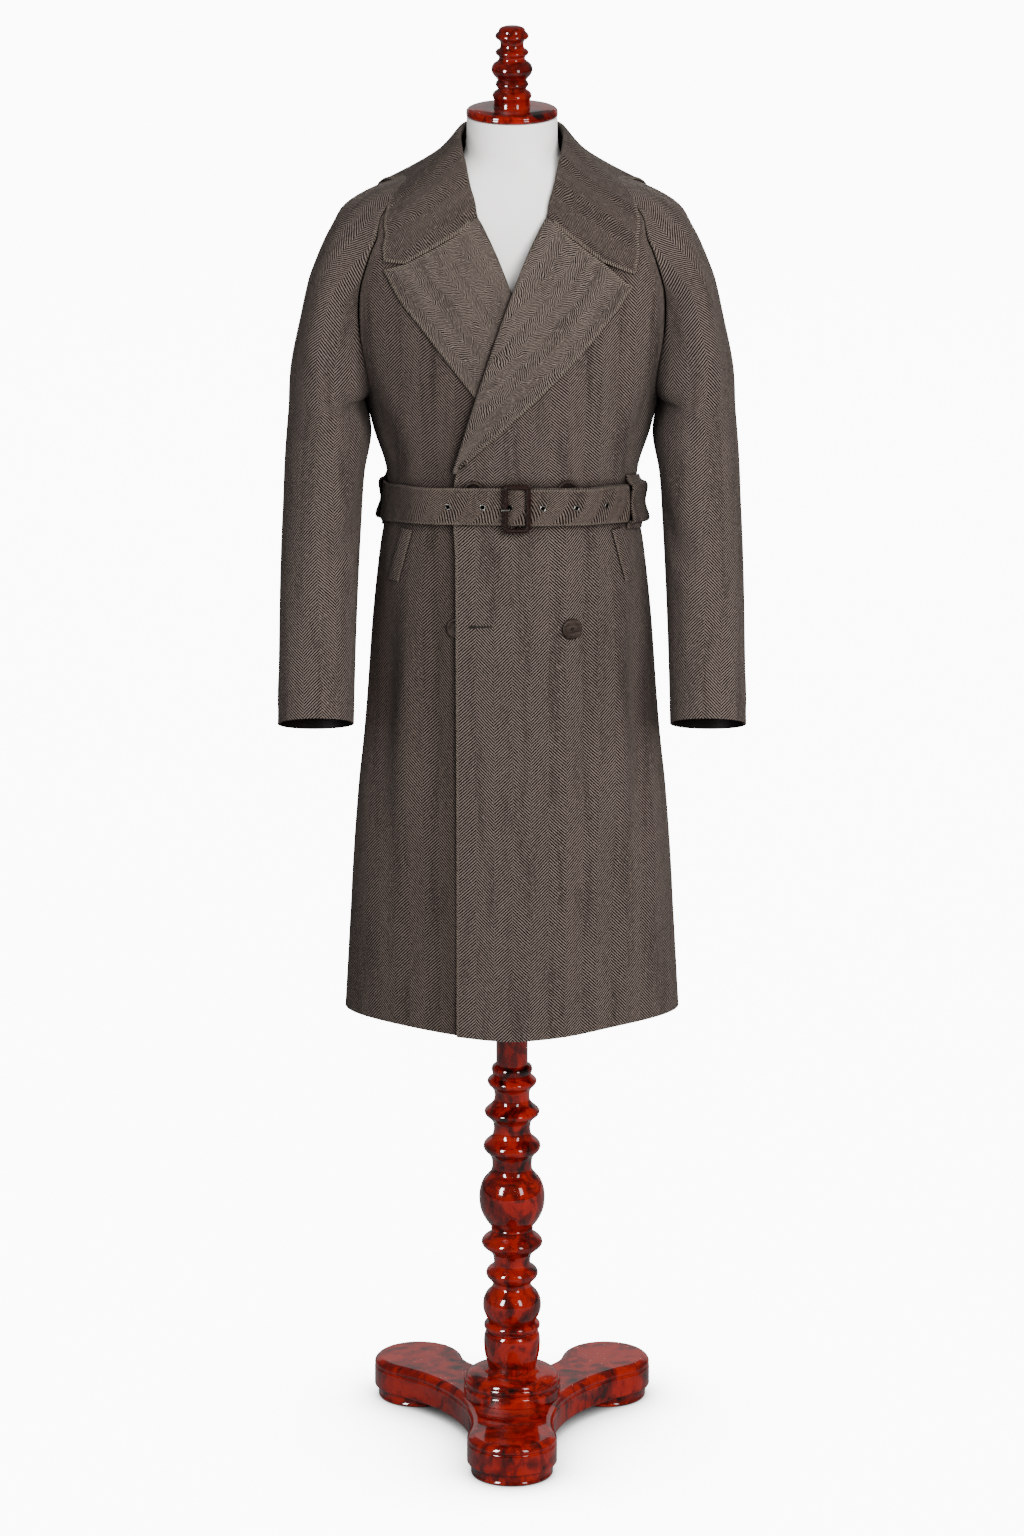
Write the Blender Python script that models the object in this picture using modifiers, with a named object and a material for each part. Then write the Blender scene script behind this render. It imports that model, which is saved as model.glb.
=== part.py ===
"""A double-breasted, belted raglan overcoat worn on a dress form with a turned stand.

Metres, +Z up.  The floor is z = 0 and the stand's pole is x = y = 0.  The coat faces -Y and
its wearer's left is +X, so the front that lies on top is the +X one.  The cloth is a wall of
real thickness: each piece is a grid of points on the coat's surface and a second grid inside
it, and neighbouring pieces share the curve of their seam.
"""

import math

import bmesh
import bpy
import mathutils
import numpy as np

# ---------------------------------------------------------------- driving dimensions

CLOTH = 0.003  # thickness of the coating
SEAM = 0.0005  # gap between two pieces along a seam
LAPEL_GAP = 0.002  # space between a turned-back layer and the cloth under it
COLLAR_GAP = 0.002
FRONT_COLUMNS = 12  # spaces between a front's columns of points
BACK_COLUMNS = 18
SIDE_COLUMNS = 4  # of those, the ones next to a seam
SLEEVE_COLUMNS = 20
SIDE_LINE = (1.15, 1.00)  # angle at which they begin, below and above the armpit

# The coat's body: a level section at each height is a superellipse.
# height, half width, depth in front, depth behind, squareness (2 is an ellipse)
BODY = np.array((
    (0.5870, 0.2140, 0.150, 0.165, 1.70),
    (0.8000, 0.2010, 0.143, 0.155, 1.95),
    (1.0000, 0.1840, 0.135, 0.142, 2.15),
    (1.1200, 0.1750, 0.129, 0.131, 2.25),
    (1.2000, 0.1660, 0.123, 0.119, 2.30),
    (1.2600, 0.1570, 0.117, 0.106, 2.30),
    (1.3000, 0.1585, 0.119, 0.110, 2.30),
    (1.3500, 0.1740, 0.124, 0.117, 2.30),
    (1.4000, 0.1860, 0.127, 0.122, 2.30),
    (1.4600, 0.2050, 0.128, 0.125, 2.30),
    (1.5200, 0.2125, 0.122, 0.124, 2.30),
    (1.5700, 0.2160, 0.111, 0.118, 2.30),
    (1.6020, 0.2160, 0.098, 0.110, 2.30),
    (1.6355, 0.2080, 0.082, 0.098, 2.30),
    (1.6560, 0.1720, 0.073, 0.089, 2.30),
    (1.6710, 0.1300, 0.067, 0.083, 2.30),
    (1.6870, 0.0880, 0.062, 0.078, 2.30),
    (1.7000, 0.0740, 0.060, 0.076, 2.30),
    (1.7200, 0.0660, 0.058, 0.074, 2.30),
))
HEM_RISE = 0.005  # the hem is this much higher between the front and the side
ARMPIT = 1.392

# Levels of the panels' points below the armpit, and in the front above it (where the lapel turns).
SKIRT_LEVELS = (0.587, 0.67, 0.76, 0.85, 0.94, 1.03, 1.12, 1.18, 1.22, 1.245, 1.275, 1.305, 1.325, 1.352)

# A raglan sleeve's stations from the neck to the armpit.  The seams are given by their angle
# from the middle of the front or of the back, and the sleeve's top by a point.  "lean" turns the
# edge of the wall from lying in the body's surface (0) to lying back on it under the arm (180).
# front angle, front height, back angle, back height, top x, top y, top z, lean, own shape (0..1)
CAP = np.array((
    (44.0, 1.6725, 42.0, 1.694, 0.0880, 0.004, 1.6870, 0, 0.00),
    (51.0, 1.6620, 46.0, 1.680, 0.1300, 0.003, 1.6710, 0, 0.00),
    (49.5, 1.6460, 47.0, 1.660, 0.1720, 0.002, 1.6560, 0, 0.00),
    (47.5, 1.6200, 48.0, 1.630, 0.2080, 0.001, 1.6355, 0, 0.20),
    (53.5, 1.5800, 52.0, 1.590, 0.2345, -0.002, 1.6020, 0, 0.70),
    (61.0, 1.5350, 57.0, 1.543, 0.2535, -0.005, 1.5450, 0, 1.00),
    (63.7, 1.4870, 61.0, 1.492, 0.2660, -0.008, 1.4900, 15, 1.00),
    (65.0, 1.4400, 64.0, 1.443, 0.2740, -0.010, 1.4480, 45, 1.00),
    (70.0, 1.4140, 70.0, 1.415, 0.2770, -0.011, 1.4250, 90, 1.00),
    (79.0, 1.3990, 79.0, 1.399, 0.2782, -0.012, 1.4060, 140, 1.00),
    (90.0, ARMPIT, 90.0, ARMPIT, 0.2790, -0.012, 1.3880, 180, 1.00),
))
# How the level curve leaves the front seam (x, y), the back seam (x, y), and its swell at the
# sleeve's top towards the front and the back, for the same stations.
CAP_SWELL = np.array((
    (0.010, 0.010, 0.010, -0.010, 0.010, 0.010),
    (0.015, 0.012, 0.015, -0.012, 0.018, 0.018),
    (0.022, 0.010, 0.022, -0.010, 0.030, 0.028),
    (0.030, 0.006, 0.030, -0.004, 0.045, 0.040),
    (0.034, -0.004, 0.034, 0.002, 0.075, 0.066),
    (0.030, -0.018, 0.030, 0.014, 0.098, 0.086),
    (0.022, -0.031, 0.022, 0.030, 0.110, 0.096),
    (0.012, -0.041, 0.012, 0.045, 0.116, 0.102),
    (0.006, -0.057, 0.006, 0.054, 0.119, 0.105),
    (0.002, -0.083, 0.002, 0.075, 0.122, 0.105),
    (0.000, -0.124, 0.000, 0.105, 0.124, 0.105),
))
# The sleeve below the armpit, down to the cuff.
# inner x, y, z, outer x, y, z, half depth, tilt in degrees (front edge up)
TUBE = np.array((
    (0.1762, -0.012, 1.352, 0.2817, -0.020, 1.349, 0.083, 3),
    (0.1845, -0.030, 1.300, 0.2860, -0.034, 1.297, 0.078, 6),
    (0.1890, -0.049, 1.235, 0.2895, -0.051, 1.232, 0.071, 10),
    (0.1927, -0.070, 1.165, 0.2915, -0.072, 1.162, 0.066, 14),
    (0.1955, -0.094, 1.095, 0.2925, -0.096, 1.093, 0.061, 18),
    (0.1970, -0.112, 1.045, 0.2933, -0.113, 1.044, 0.058, 21),
    (0.1980, -0.128, 0.999, 0.2940, -0.128, 0.998, 0.056, 23),
))

# The top front's edge, which the lapel turns back along; the under front's is its mirror image.
# height, x
FRONT_EDGE = np.array((
    (0.587, -0.0684), (1.200, -0.0684), (1.3148, -0.0684), (1.3657, -0.0546), (1.4565, -0.0272),
    (1.5370, 0.0012), (1.6017, 0.0284), (1.6336, 0.0458), (1.6550, 0.0600), (1.6725, 0.0790),
))
ROLL_LEVELS = (1.487, 1.535, 1.580, 1.620, 1.6336, 1.646, 1.662)
# How far the top front lies above the under one, and where that step runs out towards the side.
# height, step
STEP = np.array((
    (0.587, 0.0055), (0.90, 0.0060), (1.12, 0.0088), (1.30, 0.0088), (1.37, 0.0090), (1.42, 0.0094),
    (1.53, 0.0094), (1.56, 0.0070), (1.60, 0.0010), (1.62, 0.0), (1.72, 0.0),
))
STEP_START = 0.060
STEP_WIDTH = 0.075

# The lapels' outer edges, from the point to where the lapel ends: part of the way, x, height
LAPEL_LEFT_EDGE = np.array((
    (0.00, 0.1466, 1.5529), (0.13, 0.1275, 1.5248), (0.30, 0.0961, 1.4891), (0.46, 0.0644, 1.4552),
    (0.68, 0.0171, 1.4071), (0.84, -0.0208, 1.3709), (1.00, -0.0560, 1.3370),
))
LAPEL_RIGHT_EDGE = np.array((
    (0.00, 0.1568, 1.5726), (0.20, 0.1378, 1.5387), (0.50, 0.1029, 1.4943), (0.76, 0.0714, 1.4539),
    (1.00, 0.0340, 1.4060),
))
GORGE = 1.6336  # height at which lapel and collar meet on the roll line
# The seam between lapel and collar, out to the notch: part of the lapel's width, x, height
GORGE_LEFT = np.array(((0.0, 0.0458, GORGE), (0.19, 0.0656, 1.6176), (0.64, 0.1114, 1.5838)))
GORGE_RIGHT = np.array(((0.0, 0.0458, GORGE), (0.20, 0.0680, 1.6160), (0.77, 0.1312, 1.5810)))
LAPEL_LEFT_END = 1.322
LAPEL_RIGHT_END = 1.515

# The collar from the gorge round to the middle of the back: neckline and outer edge by angle and
# height, then how far its fold stands inwards and above the neckline.
# neck angle, neck height, edge angle, edge height, fold inwards, fold up
COLLAR = np.array((
    (10.5, 1.6345, 43.0, 1.5760, 0.000, 0.000),
    (14.7, 1.6500, 44.0, 1.5960, 0.004, 0.010),
    (23.2, 1.6630, 43.5, 1.6180, 0.011, 0.022),
    (35.8, 1.6725, 48.5, 1.6430, 0.017, 0.032),
    (56.8, 1.6810, 66.0, 1.6610, 0.020, 0.038),
    (90.0, 1.6880, 90.0, 1.6690, 0.020, 0.040),
    (118.0, 1.6930, 112.0, 1.6560, 0.016, 0.035),
    (138.0, 1.6945, 132.0, 1.6350, 0.009, 0.031),
    (160.0, 1.6950, 157.0, 1.6160, 0.005, 0.030),
    (180.0, 1.6950, 180.0, 1.6100, 0.004, 0.030),
))
COLLAR_POINT_LEFT = (0.1512, 1.5670)  # x and height: the notch is open on this side
COLLAR_POINT_RIGHT = (0.1574, 1.5816)

BELT_HEIGHT = 0.050
BELT_CLOTH = 0.004
BELT_LEVEL = 1.2555
BELT_DIP = 0.0265  # it is this much higher at the front and lower at the back
BELT_CLEAR = 0.0022
BELT_FRONT_CLEAR = 0.0142  # over the fastened buttons
BELT_TIP_X = 0.1385
EYELETS_X = (-0.0744, -0.0346, -0.0020, 0.0360, 0.0740, 0.1090)
EYELET_RADIUS = 0.004
EYELET_BORE = 0.0021
EYELET_BARREL = 0.0027

BUCKLE_X = (-0.0117, 0.0232)
BUCKLE_HEIGHT = 0.063
BUCKLE_BAR = 0.006
BUCKLE_THICK = 0.004
BUCKLE_LIFT = 0.0242  # above the coat's surface
PIN_X = 0.0057
PIN_LIFT = 0.0158
PIN_RADIUS = 0.0015
PRONG_RADIUS = 0.0012

BUTTON_RADIUS = 0.013
BUTTON_THICK = 0.0036
BUTTON_GAP = 0.0007
# name, x, height, on the top front
BUTTONS = (
    ("button_waist_left", 0.0660, 1.3000, True),
    ("button_waist_right", -0.0460, 1.3000, True),
    ("button_skirt_left", 0.0725, 1.1217, True),
    ("button_skirt_right", -0.0687, 1.1212, False),
)

WELT_WIDTH = 0.013
WELT_THICK = 0.0025
WELT_GAP = 0.0008
WELT_TOP = (0.1300, 1.2380)  # x, height of its middle line
WELT_LOW = (0.1475, 1.1700)

LOOP_LEFT_ANGLES = (61.0, 82.0)
LOOP_RIGHT_ANGLES = (97.0, 117.0)
LOOP_REACH = 0.0095  # its inner face, above the coat's surface

# The form: how far its surface lies inside the coat's, by height.
FORM_DEPTH = np.array((
    (0.900, 0.030), (1.050, 0.024), (1.150, 0.023), (1.250, 0.021), (1.350, 0.025), (1.450, 0.038),
    (1.520, 0.037), (1.570, 0.028), (1.600, 0.019), (1.620, 0.0125), (1.640, 0.0062), (1.660, 0.0052),
    (1.680, 0.0048), (1.690, 0.0050),
))
NECK_RADIUS = 0.0564
NECK_TOP = 1.7480
FORM_BOTTOM = 0.900

# Turned profiles, top to bottom: height, radius
FINIAL = (
    (1.8620, 0.0), (1.8615, 0.0100), (1.8595, 0.0147), (1.8542, 0.0176), (1.8515, 0.0200), (1.8492, 0.0209),
    (1.8465, 0.0195), (1.8430, 0.0155), (1.8380, 0.0145), (1.8340, 0.0165), (1.8292, 0.0207),
    (1.8250, 0.0180), (1.8205, 0.0164), (1.8160, 0.0215), (1.8115, 0.0248), (1.8073, 0.0257),
    (1.8030, 0.0248), (1.7980, 0.0212), (1.7936, 0.0178), (1.7905, 0.0195), (1.7880, 0.0205),
    (1.7850, 0.0192), (1.7825, 0.0178), (1.7790, 0.0215), (1.7755, 0.0243), (1.7715, 0.0236),
    (1.7680, 0.0224), (1.7595, 0.0226), (1.7595, 0.0),
)
NECK_CAP = (
    (1.7590, 0.0), (1.7590, 0.0500), (1.7575, 0.0550), (1.7550, 0.0570), (1.7510, 0.0570), (1.7485, 0.0550),
    (1.7485, 0.0),
)
COLUMN = (
    (0.8996, 0.0), (0.8996, 0.0204), (0.5065, 0.0204), (0.5045, 0.0245), (0.5003, 0.0264), (0.4912, 0.0238),
    (0.4844, 0.0318), (0.4790, 0.0300), (0.4700, 0.0228), (0.4600, 0.0226), (0.4500, 0.0310),
    (0.4431, 0.0356), (0.4360, 0.0320), (0.4270, 0.0240), (0.4160, 0.0240), (0.4030, 0.0330),
    (0.3949, 0.0369), (0.3860, 0.0325), (0.3720, 0.0260), (0.3640, 0.0262), (0.3540, 0.0340),
    (0.3400, 0.0408), (0.3236, 0.0424), (0.3070, 0.0408), (0.2930, 0.0340), (0.2825, 0.0266),
    (0.2784, 0.0266), (0.2710, 0.0365), (0.2646, 0.0395), (0.2580, 0.0360), (0.2460, 0.0245),
    (0.2370, 0.0238), (0.2270, 0.0315), (0.2220, 0.0337), (0.2165, 0.0315), (0.2074, 0.0253),
    (0.2030, 0.0258), (0.1940, 0.0345), (0.1785, 0.0378), (0.1630, 0.0340), (0.1560, 0.0300),
    (0.1545, 0.0345), (0.1500, 0.0364), (0.1455, 0.0350), (0.1410, 0.0312), (0.1370, 0.0340),
    (0.1310, 0.0365), (0.1144, 0.0361), (0.0955, 0.0312), (0.0925, 0.0312), (0.0925, 0.0),
)
BOSS = (
    (0.0920, 0.0), (0.0920, 0.0330), (0.0885, 0.0360), (0.0870, 0.0500), (0.0845, 0.0570), (0.0795, 0.0605),
    (0.0750, 0.0626), (0.0705, 0.0626), (0.0690, 0.0600), (0.0675, 0.0600), (0.0660, 0.0626),
    (0.0556, 0.0626), (0.0556, 0.0),
)
TURNED_STEPS = 18

BASE_BOTTOM = 0.0153
BASE_SIDE_TOP = 0.0460
BASE_TOP = 0.0553
BASE_ROUND = 0.0090  # how far the top edge is rounded in
FOOT_RADIUS = 0.058
FOOT_REACH = 0.200  # of the feet before and behind the pole
REAR_FOOT_X = 0.123
# The round feet's middles and, after each, the radius of the hollow side up to the next.
FEET = (
    ("foot_pad_front", 0.0, FOOT_RADIUS - FOOT_REACH, 0.215),
    ("foot_pad_left", REAR_FOOT_X, FOOT_REACH - FOOT_RADIUS, 0.066),
    ("foot_pad_right", -REAR_FOOT_X, FOOT_REACH - FOOT_RADIUS, 0.215),
)
PAD_RADIUS = 0.053
PAD_HEIGHT = 0.015

# ---------------------------------------------------------------- scene, materials, meshes

for startup_object in list(bpy.data.objects):
    bpy.data.objects.remove(startup_object, do_unlink=True)

COAT_STAND = bpy.data.collections.new("overcoat_on_form")
CUTTERS = bpy.data.collections.new("cutters")
bpy.context.scene.collection.children.link(COAT_STAND)
bpy.context.scene.collection.children.link(CUTTERS)


def material(name, colour, roughness, metallic=0.0):
    """A plain Principled material."""
    made = bpy.data.materials.new(name)
    made.use_nodes = True
    shader = made.node_tree.nodes["Principled BSDF"]
    shader.inputs["Base Color"].default_value = (*colour, 1.0)
    shader.inputs["Roughness"].default_value = roughness
    shader.inputs["Metallic"].default_value = metallic
    return made


WOOL = material("herringbone_wool", (0.100, 0.082, 0.070), 0.95)
LAPEL_WOOL = material("lapel_wool", (0.130, 0.108, 0.094), 0.95)
BELT_WOOL = material("belt_wool", (0.085, 0.070, 0.060), 0.95)
HORN = material("dark_horn", (0.030, 0.020, 0.016), 0.35)
LEATHER = material("brown_leather", (0.045, 0.024, 0.018), 0.50)
STEEL = material("bright_steel", (0.62, 0.62, 0.60), 0.25, 1.0)
WHITE = material("form_white", (0.80, 0.79, 0.77), 0.60)
LACQUER = material("red_lacquer", (0.22, 0.012, 0.004), 0.15)


def add_object(name, mesh, look, parent_collection=COAT_STAND):
    """Links a mesh as a named object."""
    mesh.materials.append(look)
    made = bpy.data.objects.new(name, mesh)
    parent_collection.objects.link(made)
    return made


def wall(name, outer, inner, faces, look):
    """A closed wall: two sheets of points with the same faces, joined along every open edge."""
    count = len(outer)
    edges = {(a, b) for face in faces for a, b in zip(face, face[1:] + face[:1])}
    rim = sorted((a, b) for a, b in edges if (b, a) not in edges)
    inside = [tuple(count + index for index in reversed(face)) for face in faces]
    sides = [(b, a, a + count, b + count) for a, b in rim]
    mesh = bpy.data.meshes.new(name)
    mesh.from_pydata(np.concatenate((outer, inner)).tolist(), [], list(faces) + inside + sides)
    mesh.shade_smooth()
    mesh.set_sharp_from_angle(angle=math.radians(45))
    return add_object(name, mesh, look)


def grid_faces(index):
    """Quads over a table of point numbers, counterclockwise seen from outside.

    Rows run upwards and columns run in the direction of the angle (from front to +X).
    """
    rows, columns = index.shape
    return [
        (int(index[r, c]), int(index[r, c + 1]), int(index[r + 1, c + 1]), int(index[r + 1, c]))
        for r in range(rows - 1)
        for c in range(columns - 1)
    ]


def grid_wall(name, outer, inner, look, flip=False):
    """A wall from two tables of points, rows by columns."""
    rows, columns = outer.shape[:2]
    faces = grid_faces(np.arange(rows * columns).reshape(rows, columns))
    if flip:
        faces = [tuple(reversed(face)) for face in faces]
    return wall(name, outer.reshape(-1, 3), inner.reshape(-1, 3), faces, look)


def along(xs, ys, x):
    """Smooth curve through the points (xs, ys): cubic Hermite, each slope from its two neighbours."""
    slopes = np.gradient(ys, xs, axis=0)
    i = np.clip(np.searchsorted(xs, x) - 1, 0, len(xs) - 2)
    step = xs[i + 1] - xs[i]
    t = np.clip((x - xs[i]) / step, 0.0, 1.0)
    if np.ndim(ys) > 1:
        step, t = step[..., None], t[..., None]
    return (
        (1 + 2 * t) * (1 - t) ** 2 * ys[i] + t * (1 - t) ** 2 * step * slopes[i]
        + t * t * (3 - 2 * t) * ys[i + 1] + t * t * (t - 1) * step * slopes[i + 1]
    )


def smooth(t):
    """0 up to t = 0, 1 from t = 1, and level at both."""
    t = np.clip(t, 0.0, 1.0)
    return t * t * (3 - 2 * t)


def unit(vectors):
    return vectors / np.linalg.norm(vectors, axis=-1, keepdims=True)


# ---------------------------------------------------------------- the coat's surface


def body_point(height, angle):
    """Point of the body at a height and an angle (0 is the front, pi / 2 the wearer's left)."""
    height, angle = np.broadcast_arrays(np.asarray(height, float), np.asarray(angle, float))
    half, front, back, square = (along(BODY[:, 0], BODY[:, column], height) for column in (1, 2, 3, 4))
    sin, cos = np.sin(angle), np.cos(angle)
    depth = np.where(cos > 0, front, back)
    x = half * np.sign(sin) * np.abs(sin) ** (2 / square)
    y = -depth * np.sign(cos) * np.abs(cos) ** (2 / square)
    return np.stack((x, y, height), -1)


def body_normal(height, angle):
    """Outward direction of the body's surface, from the slopes of its two families of curves."""
    small = 1e-3
    around = body_point(height, np.asarray(angle) + small) - body_point(height, np.asarray(angle) - small)
    upwards = body_point(np.asarray(height) + small, angle) - body_point(np.asarray(height) - small, angle)
    return unit(np.cross(around, upwards))


def lifted(height, angle, lift):
    """Point at a distance from the body's surface."""
    return body_point(height, angle) + body_normal(height, angle) * np.asarray(lift)[..., None]


def angle_at(x, height):
    """Angle of the front's point at this x and height."""
    x = np.asarray(x, float)
    height = np.asarray(height, float)
    half = along(BODY[:, 0], BODY[:, 1], height)
    square = along(BODY[:, 0], BODY[:, 4], height)
    return np.sign(x) * np.arcsin(np.clip(np.abs(x) / half, 0.0, 1.0) ** (square / 2))


def front_step(x, height):
    """How far the top front lies above the body's surface."""
    step = along(STEP[:, 0], STEP[:, 1], height)
    return step * (1 - smooth((x - STEP_START) / STEP_WIDTH))


def mirrored(points):
    """The same points on the other side of the coat."""
    return points * np.array((-1.0, 1.0, 1.0))


# ---------------------------------------------------------------- fronts and back


def column_angles(edge, seam, levels, inner, outer):
    """Angles of a panel's columns: an inner share ends on a line that leans little, the rest on the seam."""
    line = np.minimum(SIDE_LINE[0] + (SIDE_LINE[1] - SIDE_LINE[0]) * smooth((levels - 1.34) / 0.12), 0.9 * seam)
    first = edge[:, None] + (line - edge)[:, None] * np.linspace(0, 1, inner + 1)
    second = line[:, None] + (seam - line)[:, None] * np.linspace(0, 1, outer + 1)[1:]
    return np.concatenate((first, second), axis=1)


def make_front(name, on_top):
    """A front from its edge to the side seam and, above the armpit, to the raglan seam."""
    cap_levels = CAP[::-1, 1]
    levels = np.array(sorted(set(SKIRT_LEVELS) | set(cap_levels) | set(ROLL_LEVELS)))
    seam = np.radians(np.interp(levels, cap_levels, CAP[::-1, 0], left=90.0))
    # Between two stations the seam is straight from point to point.
    for i, level in enumerate(levels):
        if level > ARMPIT:
            station = np.searchsorted(cap_levels, level)
            low, high = cap_levels[max(station - 1, 0)], cap_levels[station]
            share = (level - low) / (high - low)
            ends = body_point((low, high), np.radians(CAP[::-1, 0][[max(station - 1, 0), station]]))
            x = ends[0, 0] + (ends[1, 0] - ends[0, 0]) * share
            seam[i] = angle_at(x, level)
    edge = angle_at(along(FRONT_EDGE[:, 0], FRONT_EDGE[:, 1], levels), levels)
    half = along(BODY[:, 0], BODY[:, 1], levels)
    in_seam = smooth((levels - ARMPIT + 0.01) / 0.02)
    angles = column_angles(edge, seam - in_seam * SEAM / half, levels, FRONT_COLUMNS - SIDE_COLUMNS, SIDE_COLUMNS)
    share = np.linspace(0, 1, FRONT_COLUMNS + 1)
    heights = levels[:, None] - (in_seam * SEAM * 0.5)[:, None] * share
    rise = HEM_RISE * np.sin(2 * angles) ** 2 * smooth((0.75 - levels[:, None]) / 0.163)
    heights = heights + rise
    lift = front_step(body_point(heights, angles)[..., 0], heights) if on_top else np.zeros(angles.shape)
    outer = lifted(heights, angles, lift)
    inner = lifted(heights, angles, lift - CLOTH)
    for sheet in (outer, inner):
        sheet[:, -1, 1] -= (1 - in_seam) * SEAM / 2
    if on_top:
        return grid_wall(name, outer, inner, WOOL)
    return grid_wall(name, mirrored(outer), mirrored(inner), WOOL, flip=True)


def make_back():
    """The back, from side seam to side seam and, above the armpit, between the raglan seams."""
    cap_levels = CAP[::-1, 3]
    levels = np.array(sorted(set(SKIRT_LEVELS) | set(cap_levels)))
    seam = np.radians(np.interp(levels, cap_levels, CAP[::-1, 2], left=90.0))
    half = along(BODY[:, 0], BODY[:, 1], levels)
    in_seam = smooth((levels - ARMPIT + 0.01) / 0.02)
    columns = column_angles(np.zeros(len(levels)), seam - in_seam * SEAM / half, levels,
                            BACK_COLUMNS // 2 - SIDE_COLUMNS, SIDE_COLUMNS)
    angles = np.pi + np.concatenate((-columns[:, :0:-1], columns), axis=1)
    share = np.linspace(0, 1, BACK_COLUMNS + 1)
    heights = levels[:, None] - (in_seam * SEAM * 0.5)[:, None] * np.abs(2 * share - 1)
    heights = heights + HEM_RISE * np.sin(2 * angles) ** 2 * smooth((0.75 - levels[:, None]) / 0.163)
    flat = np.zeros(angles.shape)
    outer, inner = lifted(heights, angles, flat), lifted(heights, angles, flat - CLOTH)
    for sheet in (outer, inner):
        sheet[:, [0, -1], 1] += ((1 - in_seam) * SEAM / 2)[:, None]
    return grid_wall("back", outer, inner, WOOL)


# ---------------------------------------------------------------- sleeves


def bezier(p0, p1, p2, p3, t):
    """Cubic Bezier curve through p0 and p3, at the values t."""
    t = t[:, None]
    return (1 - t) ** 3 * p0 + 3 * (1 - t) ** 2 * t * p1 + 3 * (1 - t) * t * t * p2 + t ** 3 * p3


def seam_point(angle, height, behind):
    """Raglan seam point, the body's outward direction there, both for the front or the back."""
    around = np.radians(180 - angle if behind else angle)
    return body_point(height, around), body_normal(height, around)


def make_sleeve(name, right):
    """One raglan sleeve: level curves from the neck to the armpit, then closed rings to the cuff."""
    half_way = np.linspace(0, 1, SLEEVE_COLUMNS // 2 + 1)
    rows = []
    for station, swell in zip(CAP, CAP_SWELL):
        front_angle, front_height, back_angle, back_height, x, y, z, _, own = station
        top = np.array((x, y, z))
        front, _ = seam_point(front_angle, front_height, False)
        back, _ = seam_point(back_angle, back_height, True)
        shaped = np.concatenate((
            bezier(front, front + (swell[0], swell[1], 0), top + (0, -swell[4], 0), top, half_way)[:-1],
            bezier(back, back + (swell[2], swell[3], 0), top + (0, swell[5], 0), top, half_way)[::-1],
        ))
        crest = min(z, 1.6355) if own else z
        rise = np.sin(half_way * np.pi / 2)
        body = np.concatenate((
            body_point(front_height + (crest - front_height) * rise,
                       np.radians(front_angle + (90 - front_angle) * half_way))[:-1],
            body_point(back_height + (crest - back_height) * rise,
                       np.radians(180 - back_angle + (back_angle - 90) * half_way))[::-1],
        ))
        rows.append(body + (shaped - body) * own)
    for x0, y0, z0, x1, y1, z1, depth, tilt in TUBE:
        inner_point, top = np.array((x0, y0, z0)), np.array((x1, y1, z1))
        reach = depth * 4 / 3
        swell = np.array((0.0, -reach * math.cos(math.radians(tilt)), reach * math.sin(math.radians(tilt))))
        rows.append(np.concatenate((
            bezier(inner_point, inner_point + swell, top + swell, top, half_way)[:-1],
            bezier(inner_point, inner_point - swell, top - swell, top, half_way)[::-1],
        )))
    outer = np.array(rows)
    armpit = len(CAP) - 1

    # Outward directions from the slopes along the rows and down the sleeve.
    around = np.gradient(outer, axis=1)
    around[armpit:, 0] = around[armpit:, -1] = (outer[armpit:, 1] - outer[armpit:, -2]) / 2
    downwards = np.gradient(outer, axis=0)
    downwards[armpit, [0, -1]] = outer[armpit + 1, 0] - outer[armpit, 0]
    direction = unit(np.cross(downwards, around))
    direction *= np.where(np.sum(direction[len(rows) // 2, SLEEVE_COLUMNS // 2] * (1, 0, 0)) < 0, -1, 1)
    inner = outer - direction * CLOTH

    # Along the raglan seams the wall's edge follows the body's wall, and leaves a gap to it.
    for column, behind in ((0, False), (-1, True)):
        angles, heights = (CAP[:, 2], CAP[:, 3]) if behind else (CAP[:, 0], CAP[:, 1])
        points, normals = seam_point(angles, heights, behind)
        run = np.gradient(points, axis=0)
        into_sleeve = unit(np.cross(run, normals) if behind else np.cross(normals, run))
        lean = np.radians(CAP[:, 7])[:, None]
        edge = points + SEAM * (into_sleeve * np.cos(lean / 2) + normals * np.sin(lean / 2))
        outer[: armpit + 1, column] = edge
        inner[: armpit + 1, column] = edge + CLOTH * (into_sleeve * np.sin(lean) - normals * np.cos(lean))

    # The rings close below the armpit, so their first and last points are one.
    count, columns = outer.shape[:2]
    index = np.arange(count * columns).reshape(count, columns)
    index[armpit:, -1] = index[armpit:, 0]
    kept = np.unique(index)
    renumber = np.zeros(count * columns, int)
    renumber[kept] = np.arange(len(kept))
    faces = grid_faces(renumber[index][::-1])
    outer, inner = outer.reshape(-1, 3)[kept], inner.reshape(-1, 3)[kept]
    if right:
        faces = [tuple(reversed(face)) for face in faces]
        outer, inner = mirrored(outer), mirrored(inner)
    return wall(name, outer, inner, faces, WOOL)


# ---------------------------------------------------------------- lapels and collar


def turned_cloth(start, into_opening, normal, rise, fall):
    """Middle line of a layer that leaves an edge, turns over and lies back, for each station.

    start: middle of the cut edge; rise: from there to the foot of the turn; fall: points after it.
    """
    radius = (LAPEL_GAP + CLOTH) / 2
    foot = start + rise
    centre = foot + normal * radius
    stand = [start, start + rise * 0.5] if np.abs(rise).max() > 0 else [start]
    turn = [
        centre - normal * radius * math.cos(a) + into_opening * radius * math.sin(a)
        for a in np.linspace(0, math.pi, 5)
    ]
    if np.abs(rise).max() == 0:
        turn = turn[1:]
    return np.concatenate((np.stack(stand + turn, 1), fall), axis=1)


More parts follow.
